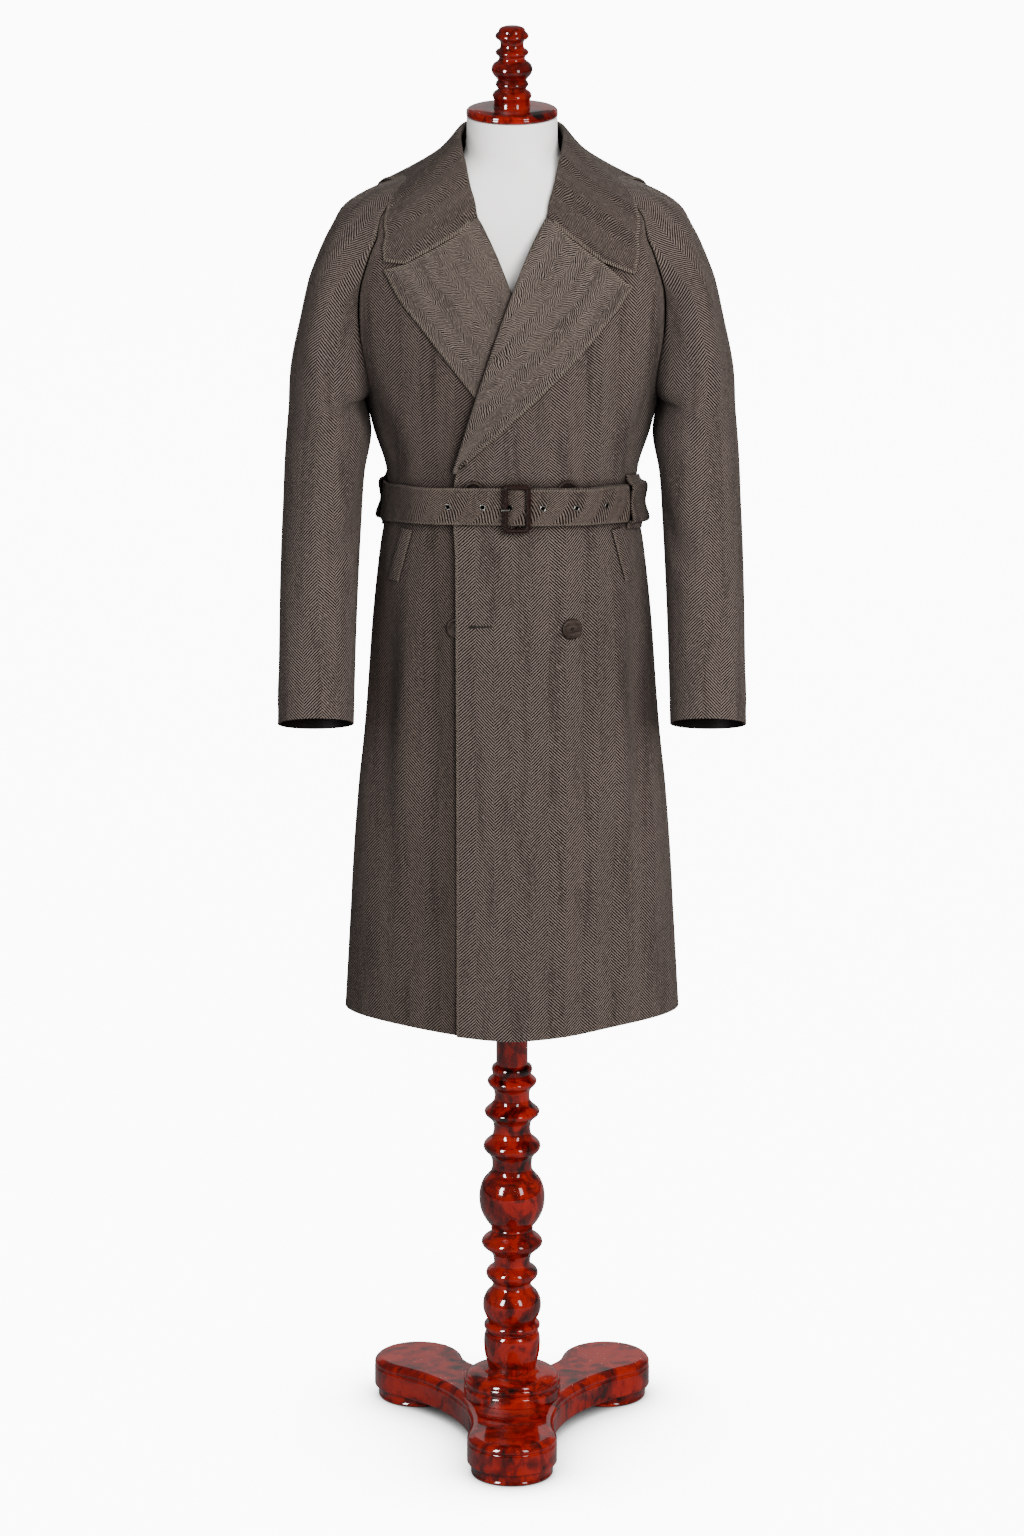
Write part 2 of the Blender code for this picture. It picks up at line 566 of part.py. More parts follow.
def sheet_normals(grid):
    """Directions across a sheet of points, from the slopes along its rows and columns."""
    return unit(np.cross(np.gradient(grid, axis=1), np.gradient(grid, axis=0)))


def gorge_line(gorge, point, share):
    """x and height along the seam of lapel and collar, and on from the notch to a point."""
    table = np.concatenate((gorge, ((1.0, *point),)))
    return tuple(np.interp(share, table[:, 0], table[:, k]) for k in (1, 2))


def make_lapel(name, on_top, edge, gorge, end_level, rows):
    """A lapel: it turns over the front's edge and lies back on the front."""
    t = np.linspace(0, 1, rows)
    level = GORGE - 0.0006 + (end_level - GORGE) * t
    x = along(FRONT_EDGE[:, 0], FRONT_EDGE[:, 1], level)
    angle = angle_at(x, level)
    lift = front_step(x, level) if on_top else np.zeros(rows)
    normal = body_normal(level, angle)
    run = np.gradient(lifted(level, angle, lift), axis=0)
    into_opening = unit(np.cross(run, normal))
    into_opening *= np.sign(-into_opening[:1, :1])
    start = lifted(level, angle, lift - CLOTH / 2) + into_opening * (SEAM + 0.0008)
    out_x, out_level = (along(edge[:, 0], edge[:, k], t) for k in (1, 2))
    share = np.array((0.14, 0.36, 0.58, 0.79, 1.0))
    fall_x = x[:, None] + (out_x - x)[:, None] * share
    fall_level = level[:, None] + (out_level - level)[:, None] * share
    gorge_x, gorge_level = gorge_line(gorge, edge[0, 1:], share)
    fade = ((1 - t) ** 4)[:, None]
    fall_x = fall_x + (gorge_x - fall_x[0]) * fade
    fall_level = fall_level + (gorge_level - 0.0018 - fall_level[0]) * fade
    under = front_step(fall_x, fall_level) if on_top else np.zeros(fall_x.shape)
    fall = lifted(fall_level, angle_at(fall_x, fall_level), under + LAPEL_GAP + CLOTH / 2)
    middle = turned_cloth(start, into_opening, normal, np.zeros((rows, 3)), fall)
    across = sheet_normals(middle)
    outer, inner = middle + across * CLOTH / 2, middle - across * CLOTH / 2
    if on_top:
        return grid_wall(name, outer, inner, LAPEL_WOOL)
    return grid_wall(name, mirrored(outer), mirrored(inner), LAPEL_WOOL, flip=True)


def make_collar():
    """The collar: a stand up from the neckline, the fold, and the fall on the shoulders."""
    positions = np.linspace(0, len(COLLAR) - 1, 13)
    half = along(np.arange(len(COLLAR)), COLLAR, positions)
    side = half.copy()
    side[:, [0, 2]] = 360 - side[:, [0, 2]]
    table = np.concatenate((half, side[-2::-1]))
    neck_angle, edge_angle = np.radians(table[:, 0]), np.radians(table[:, 2])
    neck, normal = body_point(table[:, 1], neck_angle), body_normal(table[:, 1], neck_angle)
    run = np.gradient(neck, axis=0)
    into_opening = unit(np.cross(normal, run))
    into_opening *= np.where(into_opening[:, 2:] < 0, -1, 1)
    inwards = -unit(neck * (1, 1, 0))
    rise = inwards * table[:, 4:5] + np.array((0, 0, 1)) * table[:, 5:6] + into_opening * 0.0012
    start = neck + into_opening * (SEAM + 0.0012) - normal * CLOTH / 2
    share = np.array((0.10, 0.24, 0.42, 0.62, 0.81, 1.0))
    angles = neck_angle[:, None] + (edge_angle - neck_angle)[:, None] * share
    heights = table[:, 1:2] + (table[:, 3:4] - table[:, 1:2]) * share
    for end, gorge, point, full in ((0, GORGE_LEFT, COLLAR_POINT_LEFT, 0.0),
                                    (-1, GORGE_RIGHT, COLLAR_POINT_RIGHT, 2 * np.pi)):
        x, level = gorge_line(gorge, point, share)
        bend = np.abs(full - angle_at(x, level)) - angles[end]
        drop = level - heights[end]
        for row, part in enumerate((1.0, 0.55, 0.2)):
            angles[end - row if end else row] += bend * part
            heights[end - row if end else row] += drop * part
    fade = (1 - share) ** 2.4
    step = front_step(body_point(heights, angles)[..., 0], heights)
    step = np.where(np.cos(angles) > 0, np.where(np.sin(angles) > 0, step, 0.0), 0.0)
    fall = lifted(heights, angles, step + COLLAR_GAP + CLOTH / 2) + rise[:, None] * fade[:, None]
    middle = turned_cloth(start, into_opening, normal, rise, fall)
    across = sheet_normals(middle)
    return grid_wall("collar", middle + across * CLOTH / 2, middle - across * CLOTH / 2, LAPEL_WOOL)


# ---------------------------------------------------------------- belt and its fittings


def belt_level(angle):
    return BELT_LEVEL + BELT_DIP * np.cos(angle)


def belt_clearance(x, angle):
    """Inner face of the belt's first layer above the coat: it bridges the fastened buttons."""
    bridge = 1 - smooth((np.abs(x + 0.0075) - 0.0875) / 0.052)
    front = np.cos(angle) > 0
    return BELT_CLEAR + (BELT_FRONT_CLEAR - BELT_CLEAR) * np.where(front, bridge, 0.0)


# Inner face of the belt where it passes through the buckle: x, height above the coat
THROUGH_BUCKLE = np.array((
    (-0.050, BELT_FRONT_CLEAR), (-0.030, BELT_FRONT_CLEAR + 0.0003), (-0.012, BELT_FRONT_CLEAR + 0.0013),
    (-0.002, BELT_FRONT_CLEAR + 0.0030), (0.0057, BELT_FRONT_CLEAR + 0.0039),
    (0.014, BELT_FRONT_CLEAR + BELT_CLOTH + 0.0006), (0.050, BELT_FRONT_CLEAR + BELT_CLOTH + 0.0006),
))


def belt_lift(angle):
    """Inner face of the belt above the coat, along its 1.3 turns from the buckle's pin."""
    x = body_point(belt_level(angle), angle)[..., 0]
    first = belt_clearance(x, angle)
    second = first + BELT_CLOTH + 0.0006
    through = along(THROUGH_BUCKLE[:, 0], THROUGH_BUCKLE[:, 1], x)
    late = angle > 1.5 * np.pi
    near = late & (np.abs(x) < 0.05) & (np.cos(angle) > 0)
    return np.where(near, through, np.where(late & (x > 0), second, first))


def make_belt():
    """One strap from the buckle's pin round the back, through the buckle and on to its free end."""
    full = 2 * np.pi
    start = float(angle_at(0.0115, BELT_LEVEL + BELT_DIP))
    tip = full + float(angle_at(BELT_TIP_X, belt_level(angle_at(BELT_TIP_X, BELT_LEVEL))))
    free_end = np.linspace(0.0, tip - full, 13)
    buckle = angle_at(np.array((-0.050, -0.034, -0.022, -0.012, -0.006, 0.0, 0.006, 0.012, 0.022)), BELT_LEVEL)
    first = np.concatenate(((start,), free_end[free_end > start + 0.03], np.linspace(tip - full, np.pi, 14)[1:]))
    second = np.concatenate((np.linspace(np.pi, full - 0.45, 15)[1:], full + buckle))
    end = full + free_end[free_end > buckle[-1] + 0.03]
    angles = np.concatenate((first, second, end[:-1], tip - np.array((0.030, 0.012, 0.0))))
    angles = np.unique(np.round(angles, 5))
    # The free end's corners are rounded.
    corner = 0.008
    reach = np.clip((tip - angles) * 0.15, 0.0, corner)
    half = BELT_HEIGHT / 2 - (corner - np.sqrt(corner ** 2 - (corner - reach) ** 2)) * 0.9
    rows = np.array((-1.0, 0.0, 1.0))
    heights = belt_level(angles) + rows[:, None] * half
    lift = np.broadcast_to(belt_lift(angles), heights.shape)
    around = np.broadcast_to(angles, heights.shape)
    belt = grid_wall("belt", lifted(heights, around, lift + BELT_CLOTH), lifted(heights, around, lift), BELT_WOOL)
    return belt


def belt_place(x):
    """Middle of the inner face of the belt's upper layer at this x, and the belt's outward direction."""
    angle = float(angle_at(x, BELT_LEVEL + BELT_DIP))
    level = float(belt_level(angle))
    full = angle + 2 * np.pi
    around = np.array((full - 0.02, full + 0.02))
    before, after = lifted(belt_level(around), around, belt_lift(around))
    normal = body_normal(level, angle)
    normal = unit(normal - unit(after - before) * np.dot(normal, unit(after - before)))
    lift = float(belt_lift(np.array(full)))
    return body_point(level, angle) + body_normal(level, angle) * lift, normal


def face_frame(normal):
    """Rotation that turns +Z to the normal and keeps +Y as upright as it can."""
    sideways = np.cross((0, 0, 1), normal)
    sideways = sideways / np.linalg.norm(sideways)
    upright = np.cross(normal, sideways)
    return np.stack((sideways, upright, normal), -1)


def placed(mesh_object, point, frame):
    """Puts an object's origin at a point with its own axes along the frame's columns."""
    matrix = np.eye(4)
    matrix[:3, :3] = frame
    matrix[:3, 3] = point
    mesh_object.matrix_world = mathutils.Matrix(matrix.tolist())


def turned(name, profile, look, steps=TURNED_STEPS):
    """A turned solid: a profile of (height, radius) pairs, top to bottom, spun round Z."""
    mesh = bpy.data.meshes.new(name)
    points = [(radius, 0.0, height) for height, radius in profile]
    mesh.from_pydata(points, [(i, i + 1) for i in range(len(points) - 1)], [])
    made = add_object(name, mesh, look)
    screw = made.modifiers.new("turn", "SCREW")
    screw.steps = screw.render_steps = steps
    screw.use_merge_vertices = True
    screw.merge_threshold = 0.00001
    screw.use_smooth_shade = True
    return made


def make_eyelet(number, x):
    """A metal ring with a barrel through the belt, and the hole that the belt has for it."""
    point, normal = belt_place(x)
    frame = face_frame(normal)
    hole_radius = EYELET_BARREL + 0.0005
    mesh = bpy.data.meshes.new(f"eyelet_hole_{number}")
    shape = bmesh.new()
    bmesh.ops.create_cone(shape, cap_ends=True, segments=12, radius1=hole_radius, radius2=hole_radius,
                          depth=BELT_CLOTH + 0.0024)
    shape.to_mesh(mesh)
    shape.free()
    cutter = add_object(f"eyelet_hole_{number}", mesh, STEEL, CUTTERS)
    placed(cutter, point + normal * (BELT_CLOTH / 2 + 0.0009), frame)
    cutter.hide_render = True
    cutter.display_type = "WIRE"
    top, bottom = 0.0012, -BELT_CLOTH - 0.0001
    profile = ((top, EYELET_BORE), (top, EYELET_RADIUS - 0.0004), (top - 0.0004, EYELET_RADIUS),
               (0.0005, EYELET_RADIUS), (0.0005, EYELET_BARREL), (bottom, EYELET_BARREL),
               (bottom, EYELET_BORE), (top, EYELET_BORE))
    mesh = bpy.data.meshes.new(f"eyelet_{number}")
    mesh.from_pydata([(r, 0.0, h) for h, r in profile[:-1]],
                     [(i, (i + 1) % (len(profile) - 1)) for i in range(len(profile) - 1)], [])
    ring = add_object(f"eyelet_{number}", mesh, STEEL)
    screw = ring.modifiers.new("turn", "SCREW")
    screw.steps = screw.render_steps = 12
    screw.use_merge_vertices = True
    screw.merge_threshold = 0.00001
    placed(ring, point + normal * BELT_CLOTH, frame)
    return cutter


def rounded_outline(width, height, radius, steps=4):
    """Corners of a rounded rectangle about the origin, counterclockwise."""
    points = []
    for quarter, (sx, sy) in enumerate(((1, 1), (-1, 1), (-1, -1), (1, -1))):
        for step in range(steps + 1):
            a = math.pi / 2 * (quarter + step / steps)
            points.append((sx * (width / 2 - radius) + radius * math.cos(a),
                           sy * (height / 2 - radius) + radius * math.sin(a)))
    return points


def buckle_place():
    """The point of the coat's surface behind the buckle's middle, and the direction outwards."""
    level = BELT_LEVEL + BELT_DIP
    angle = float(angle_at(sum(BUCKLE_X) / 2, level))
    return body_point(level, angle), body_normal(level, angle)


def make_buckle():
    """The leather-covered frame: a rounded rectangle with a window."""
    point, normal = buckle_place()
    width = BUCKLE_X[1] - BUCKLE_X[0]
    outline = rounded_outline(width, BUCKLE_HEIGHT, 0.006)
    window = rounded_outline(width - 2 * BUCKLE_BAR, BUCKLE_HEIGHT - 0.011, 0.0025)
    count = len(outline)
    levels = ((0.0, outline, 1.0), (BUCKLE_THICK, outline, 0.97), (BUCKLE_THICK, window, 1.03), (0.0, window, 1.0))
    points = [(x * scale, y * scale, h) for h, ring, scale in levels for x, y in ring]
    faces = []
    for ring in range(4):
        a, b = ring * count, (ring + 1) % 4 * count
        faces += [(a + i, a + (i + 1) % count, b + (i + 1) % count, b + i) for i in range(count)]
    mesh = bpy.data.meshes.new("buckle")
    mesh.from_pydata(points, [], faces)
    mesh.shade_smooth()
    mesh.set_sharp_from_angle(angle=math.radians(40))
    placed(add_object("buckle", mesh, LEATHER), point + normal * BUCKLE_LIFT, face_frame(normal))


def wire(name, points, radius, look, resolution=2):
    """A round wire through points, with filled ends."""
    curve = bpy.data.curves.new(name, "CURVE")
    curve.dimensions = "3D"
    curve.bevel_depth = radius
    curve.bevel_resolution = resolution
    curve.use_fill_caps = True
    spline = curve.splines.new("POLY")
    spline.points.add(len(points) - 1)
    for target, point in zip(spline.points, points):
        target.co = (*point, 1.0)
    curve.materials.append(look)
    made = bpy.data.objects.new(name, curve)
    COAT_STAND.objects.link(made)
    return made


def make_pin_and_prong():
    """The buckle's middle bar, bent forward at its ends to the frame, and the prong that it carries."""
    point, normal = buckle_place()
    frame = face_frame(normal)
    middle = sum(BUCKLE_X) / 2

    def at(x, up, lift):
        return point + frame @ np.array((x - middle, up, 0.0)) + normal * lift

    reach = BUCKLE_HEIGHT / 2 - 0.0030
    under_frame = BUCKLE_LIFT - PIN_RADIUS - 0.0004
    bar = [at(PIN_X, up, lift) for up, lift in (
        (reach, under_frame), (reach - 0.0002, PIN_LIFT + 0.0022), (reach - 0.0016, PIN_LIFT), (0.0, PIN_LIFT),
        (0.0016 - reach, PIN_LIFT), (0.0002 - reach, PIN_LIFT + 0.0022), (-reach, under_frame))]
    wire("buckle_bar", bar, PIN_RADIUS, STEEL)
    top = BUCKLE_LIFT + BUCKLE_THICK + PRONG_RADIUS + 0.0005
    hole, axis = belt_place(EYELETS_X[2])
    prong = [at(PIN_X - PIN_RADIUS - PRONG_RADIUS - 0.0004, 0.0, PIN_LIFT)]
    prong += [hole - axis * 0.0016, hole + axis * (BELT_CLOTH + 0.0022)]
    prong += [at(x, 0.0, lift) for x, lift in ((-0.0043, top - 0.0004), (-0.0060, top), (-0.0142, top))]
    wire("buckle_prong", prong, PRONG_RADIUS, STEEL)


def make_belt_loop(name, ends, right):
    """A loop of cloth round the belt: it leaves the coat above the belt and returns below it."""
    angles = np.radians(np.linspace(*ends, 4))
    reach = LOOP_REACH
    seat = 0.0014
    # height from the belt's middle, inner face above the coat
    path = np.array(((0.0340, seat), (0.0325, 0.0055), (0.0285, reach), (0.0, reach + 0.0004),
                     (-0.0270, reach), (-0.0295, 0.0055), (-0.0310, seat)))[::-1]
    across = unit(np.stack((np.gradient(path[:, 1]), -np.gradient(path[:, 0])), -1)) * (-1, -1)
    outside = path + across * (1, 1) * CLOTH
    outside[[0, -1], 1] = path[[0, -1], 1]
    outside[0, 0] = path[0, 0] - CLOTH
    outside[-1, 0] = path[-1, 0] + CLOTH
    level = belt_level(angles)
    inner = lifted(level + path[:, :1], np.broadcast_to(angles, (len(path), 4)), np.repeat(path[:, 1:], 4, 1))
    outer = lifted(level + outside[:, :1], np.broadcast_to(angles, (len(path), 4)),
                   np.repeat(outside[:, 1:], 4, 1))
    if right:
        return grid_wall(name, mirrored(outer), mirrored(inner), WOOL, flip=True)
    return grid_wall(name, outer, inner, WOOL)


# ---------------------------------------------------------------- buttons and pocket welts


def make_button(name, x, height, on_top):
    """A round button with a raised rim and a hollow middle, flat behind."""
    r, t = BUTTON_RADIUS, BUTTON_THICK
    profile = ((t * 0.62, 0.0), (t * 0.62, r * 0.30), (t * 0.74, r * 0.58), (t * 0.98, r * 0.74), (t, r * 0.84),
               (t * 0.88, r * 0.96), (t * 0.55, r), (t * 0.20, r * 0.97), (0.0, r * 0.86), (0.0, 0.0))
    reach = BUTTON_RADIUS / 2
    xs = x + np.array((0.0, -reach, reach, 0.0, 0.0))
    heights = height + np.array((0.0, 0.0, 0.0, -reach, reach))
    step = front_step(xs, heights) if on_top else np.zeros(5)
    place, left, right, low, high = lifted(heights, angle_at(xs, heights), step)
    normal = unit(np.cross(right - left, high - low))
    placed(turned(name, profile, HORN), place + normal * BUTTON_GAP, face_frame(normal))


def make_welt(name, right):
    """A slanted pocket welt: a thin strip on the front, made from the front's points moved out."""
    t = np.linspace(0, 1, 5)
    x = WELT_TOP[0] + (WELT_LOW[0] - WELT_TOP[0]) * t
    height = WELT_TOP[1] + (WELT_LOW[1] - WELT_TOP[1]) * t
    offset = np.linspace(-0.5, 0.5, 3) * WELT_WIDTH
    x, height = (x[::-1, None] + offset), np.repeat(height[::-1, None], 3, 1)
    angle = angle_at(x, height)
    step = np.zeros(x.shape) if right else front_step(x, height)
    outer, inner = (lifted(height, angle, step + WELT_GAP + d) for d in (WELT_THICK, 0.0))
    if right:
        return grid_wall(name, mirrored(outer), mirrored(inner), WOOL, flip=True)
    return grid_wall(name, outer, inner, WOOL)


# ---------------------------------------------------------------- dress form and stand


def make_form():
    """Torso and neck: rings a little inside the coat's surface, closed below and at the neck's top."""
    steps = 24
    angles = np.linspace(0, 2 * np.pi, steps, endpoint=False)
    levels = np.array((0.900, 0.98, 1.06, 1.14, 1.20, 1.26, 1.32, 1.38, 1.44, 1.50, 1.55, 1.585, 1.61, 1.63,
                       1.645, 1.66, 1.675, 1.688))
    depth = along(FORM_DEPTH[:, 0], FORM_DEPTH[:, 1], levels)
    rings = [lifted(level, angles, np.full(steps, -inset)) for level, inset in zip(levels, depth)]
    for height, radius, middle in ((1.7000, 0.0615, -0.004), (1.7130, 0.0578, -0.001), (NECK_TOP, NECK_RADIUS, 0.0)):
        rings.append(np.stack((radius * np.sin(angles), -middle - radius * np.cos(angles),
                               np.full(steps, height)), -1))
    rings[0][:, 2] = FORM_BOTTOM + 0.006
    bottom = rings[0] * (0.95, 0.95, 1) - (0, 0, 0.006)
    points = np.concatenate([bottom] + rings)
    count = len(rings) + 1
    faces = []
    for ring in range(count - 1):
        a, b = ring * steps, (ring + 1) * steps
        faces += [(a + i, a + (i + 1) % steps, b + (i + 1) % steps, b + i) for i in range(steps)]
    faces.append(tuple(reversed(range(steps))))
    faces.append(tuple(range((count - 1) * steps, count * steps)))
    mesh = bpy.data.meshes.new("form")
    mesh.from_pydata(points.tolist(), [], faces)
    mesh.shade_smooth()
    mesh.set_sharp_from_angle(angle=math.radians(50))
    add_object("form", mesh, WHITE)


def hollow_middle(foot, following, radius):
    """Middle of the hollow side between two feet: an arc that touches both feet's circles."""
    first, second = np.array(foot[1:3]), np.array(following[1:3])
    half = (second - first) / 2
    outwards = np.array((half[1], -half[0])) / np.linalg.norm(half)
    return first + half + outwards * math.sqrt((radius + FOOT_RADIUS) ** 2 - half @ half)


def arc(middle, radius, begin, end, steps):
    """Points on an arc, by its end angles."""
    angles = np.linspace(begin, end, steps)
    return middle + radius * np.column_stack((np.cos(angles), np.sin(angles)))


def plate_outline(inset):
    """Three round feet joined by hollow sides, all moved in by an inset."""
    parts = []
    for number, foot in enumerate(FEET):
        before, following = FEET[number - 1], FEET[(number + 1) % 3]
        middle = np.array(foot[1:3])
        ahead = hollow_middle(foot, following, foot[3])
        behind = hollow_middle(before, foot, before[3])
        begin, end = (math.atan2(*(touch - middle)[::-1]) for touch in (behind, ahead))
        parts.append(arc(middle, FOOT_RADIUS - inset, begin, begin + (end - begin) % (2 * math.pi), 13))
        begin, end = (math.atan2(*(point - ahead)[::-1]) for point in (middle, np.array(following[1:3])))
        turn = (end - begin + math.pi) % (2 * math.pi) - math.pi
        parts.append(arc(ahead, foot[3] + inset, begin, begin + turn, 8)[1:-1])
    return np.concatenate(parts)


def make_base():
    """The three-armed plate with a rounded top edge, and the pads under its feet."""
    round_levels = [(BASE_SIDE_TOP + (BASE_TOP - BASE_SIDE_TOP) * math.sin(a), BASE_ROUND * (1 - math.cos(a)))
                    for a in np.linspace(0, math.pi / 2, 4)]
    levels = [(BASE_BOTTOM, 0.002), (BASE_BOTTOM + 0.002, 0.0)] + round_levels
    rings = [np.column_stack((plate_outline(inset), np.full(len(plate_outline(0.0)), height)))
             for height, inset in levels]
    count = len(rings[0])
    faces = []
    for ring in range(len(rings) - 1):
        a, b = ring * count, (ring + 1) * count
        faces += [(a + i, a + (i + 1) % count, b + (i + 1) % count, b + i) for i in range(count)]
    faces.append(tuple(reversed(range(count))))
    faces.append(tuple(range((len(rings) - 1) * count, len(rings) * count)))
    mesh = bpy.data.meshes.new("base")
    mesh.from_pydata(np.concatenate(rings).tolist(), [], faces)
    mesh.shade_smooth()
    mesh.set_sharp_from_angle(angle=math.radians(50))
    add_object("base", mesh, LACQUER)
    pad = ((PAD_HEIGHT, 0.0), (PAD_HEIGHT, PAD_RADIUS), (0.0030, PAD_RADIUS), (0.0, PAD_RADIUS - 0.003), (0.0, 0.0))
    for name, x, y, _ in FEET:
        turned(name, pad, LACQUER).location = (x, y, 0.0)


make_front("front_left", True)
make_front("front_right", False)
make_back()
make_sleeve("sleeve_left", False)
make_sleeve("sleeve_right", True)
make_lapel("lapel_left", True, LAPEL_LEFT_EDGE, GORGE_LEFT, LAPEL_LEFT_END, 12)
make_lapel("lapel_right", False, LAPEL_RIGHT_EDGE, GORGE_RIGHT, LAPEL_RIGHT_END, 8)
make_collar()

strap = make_belt()
for number, eyelet_x in enumerate(EYELETS_X, 1):
    hole = strap.modifiers.new(f"hole_{number}", "BOOLEAN")
    hole.object = make_eyelet(number, eyelet_x)
    hole.operation = "DIFFERENCE"
make_buckle()
make_pin_and_prong()
make_belt_loop("belt_loop_left", LOOP_LEFT_ANGLES, False)
make_belt_loop("belt_loop_right", LOOP_RIGHT_ANGLES, True)

for button in BUTTONS:
    make_button(*button)
make_welt("pocket_welt_left", False)
make_welt("pocket_welt_right", True)

make_form()
turned("neck_cap", NECK_CAP, LACQUER, 28)
turned("finial", FINIAL, LACQUER)
turned("column", COLUMN, LACQUER)
turned("boss", BOSS, LACQUER, 28)
make_base()
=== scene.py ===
"""Looks of a double-breasted, belted raglan overcoat on a dress form with a turned stand.

Metres, +Z up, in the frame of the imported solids: the floor is z = 0 and the pole is x = y = 0.
The coat faces -Y and its wearer's left is +X, so the front that lies on top is the +X one.
"""

import math

import bmesh
import bpy
import numpy as np
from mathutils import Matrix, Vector


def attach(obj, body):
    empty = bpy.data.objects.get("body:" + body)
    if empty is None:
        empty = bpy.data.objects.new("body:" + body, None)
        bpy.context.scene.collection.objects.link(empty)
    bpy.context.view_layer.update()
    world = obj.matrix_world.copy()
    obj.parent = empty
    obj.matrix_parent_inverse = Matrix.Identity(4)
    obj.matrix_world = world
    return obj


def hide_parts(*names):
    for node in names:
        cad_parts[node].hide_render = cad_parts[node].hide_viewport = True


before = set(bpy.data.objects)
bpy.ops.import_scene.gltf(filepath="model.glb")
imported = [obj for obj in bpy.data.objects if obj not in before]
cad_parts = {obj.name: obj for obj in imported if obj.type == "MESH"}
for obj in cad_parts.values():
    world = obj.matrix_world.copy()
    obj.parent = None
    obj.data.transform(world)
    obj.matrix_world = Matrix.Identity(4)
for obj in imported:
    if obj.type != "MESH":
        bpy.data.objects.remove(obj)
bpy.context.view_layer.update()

# ------------------------------------------------------------------ base plate and pads
# One board sawn to three round feet joined by hollow sides, its top edge rounded over a small
# dark groove, standing on three round pads.  Wood under mottled red lacquer, rubbed to a high gloss.

FOOT_RADIUS = 0.058
FOOT_REACH = 0.200
REAR_FOOT_X = 0.123
# The feet's middles and, after each, the radius of the hollow side up to the next.
FEET = (
    (0.0, FOOT_RADIUS - FOOT_REACH, 0.215),
    (REAR_FOOT_X, FOOT_REACH - FOOT_RADIUS, 0.066),
    (-REAR_FOOT_X, FOOT_REACH - FOOT_RADIUS, 0.215),
)
# Height and how far the outline is moved in, bottom to top.
PLATE_SECTION = (
    (0.0153, 0.0030), (0.0153, 0.0030), (0.0160, 0.0010), (0.0175, 0.0000), (0.0175, 0.0000),
    (0.0418, 0.0000), (0.0418, 0.0000), (0.0425, 0.0012), (0.0438, 0.0016), (0.0450, 0.0010),
    (0.0456, 0.0002), (0.0456, 0.0002), (0.0480, 0.0003), (0.0510, 0.0018), (0.0536, 0.0046),
    (0.0553, 0.0090), (0.0553, 0.0090), (0.0553, 0.0120),
)
PAD_SECTION = (
    (0.0150, 0.0), (0.0150, 0.0), (0.0150, 0.0530), (0.0150, 0.0530), (0.0062, 0.0530), (0.0062, 0.0530),
    (0.0052, 0.0518), (0.0040, 0.0526), (0.0040, 0.0526), (0.0030, 0.0530), (0.0012, 0.0522),
    (0.0, 0.0500), (0.0, 0.0500), (0.0, 0.0),
)


def along(xs, ys, x):
    """Smooth curve through the points (xs, ys): cubic Hermite, each slope from its two neighbours."""
    slopes = np.gradient(ys, xs, axis=0)
    i = np.clip(np.searchsorted(xs, x) - 1, 0, len(xs) - 2)
    step = xs[i + 1] - xs[i]
    t = np.clip((x - xs[i]) / step, 0.0, 1.0)
    if np.ndim(ys) > 1:
        step, t = step[..., None], t[..., None]
    return (
        (1 + 2 * t) * (1 - t) ** 2 * ys[i] + t * (1 - t) ** 2 * step * slopes[i]
        + t * t * (3 - 2 * t) * ys[i + 1] + t * t * (t - 1) * step * slopes[i + 1]
    )


def walked(points, axis=0):
    """Distance walked from the first point to each one, adding up the straight steps."""
    steps = np.linalg.norm(np.diff(points, axis=axis), axis=-1)
    start = np.zeros_like(np.take(steps, [0], axis=axis))
    return np.concatenate((start, np.cumsum(steps, axis=axis)), axis=axis)


def section_curve(rows, step):
    """Points through the rows in smooth curves of about that step; a repeated row is a corner."""
    rows = np.array(rows, float)
    corners = np.flatnonzero((rows[1:] == rows[:-1]).all(1)) + 1
    parts = []
    for run in np.split(rows, corners):
        if len(run) < 2:
            continue
        reach = walked(run)
        count = max(2, math.ceil(reach[-1] / step) + 1)
        parts.append(along(reach, run, np.linspace(0, reach[-1], count)))
    return np.concatenate([parts[0]] + [part[1:] for part in parts[1:]])


def grid_quads(rows, columns, closed=False, ends_meet=False):
    """Corner numbers of the quads of a table of points, rows by columns.

    closed joins the last column to the first, and ends_meet the last row to the first.
    """
    number = np.arange(rows * columns).reshape(rows, columns)
    if closed:
        number = np.concatenate((number, number[:, :1]), axis=1)
    if ends_meet:
        number = np.concatenate((number, number[:1]))
    return np.stack((number[:-1, :-1], number[:-1, 1:], number[1:, 1:], number[1:, :-1]), -1).reshape(-1, 4)


def tube_faces(rows, around):
    """Quads of a closed table of points, and the flat faces of its two ends."""
    last = np.arange((rows - 1) * around, rows * around)
    return [*grid_quads(rows, around, closed=True), np.arange(around)[::-1], last]


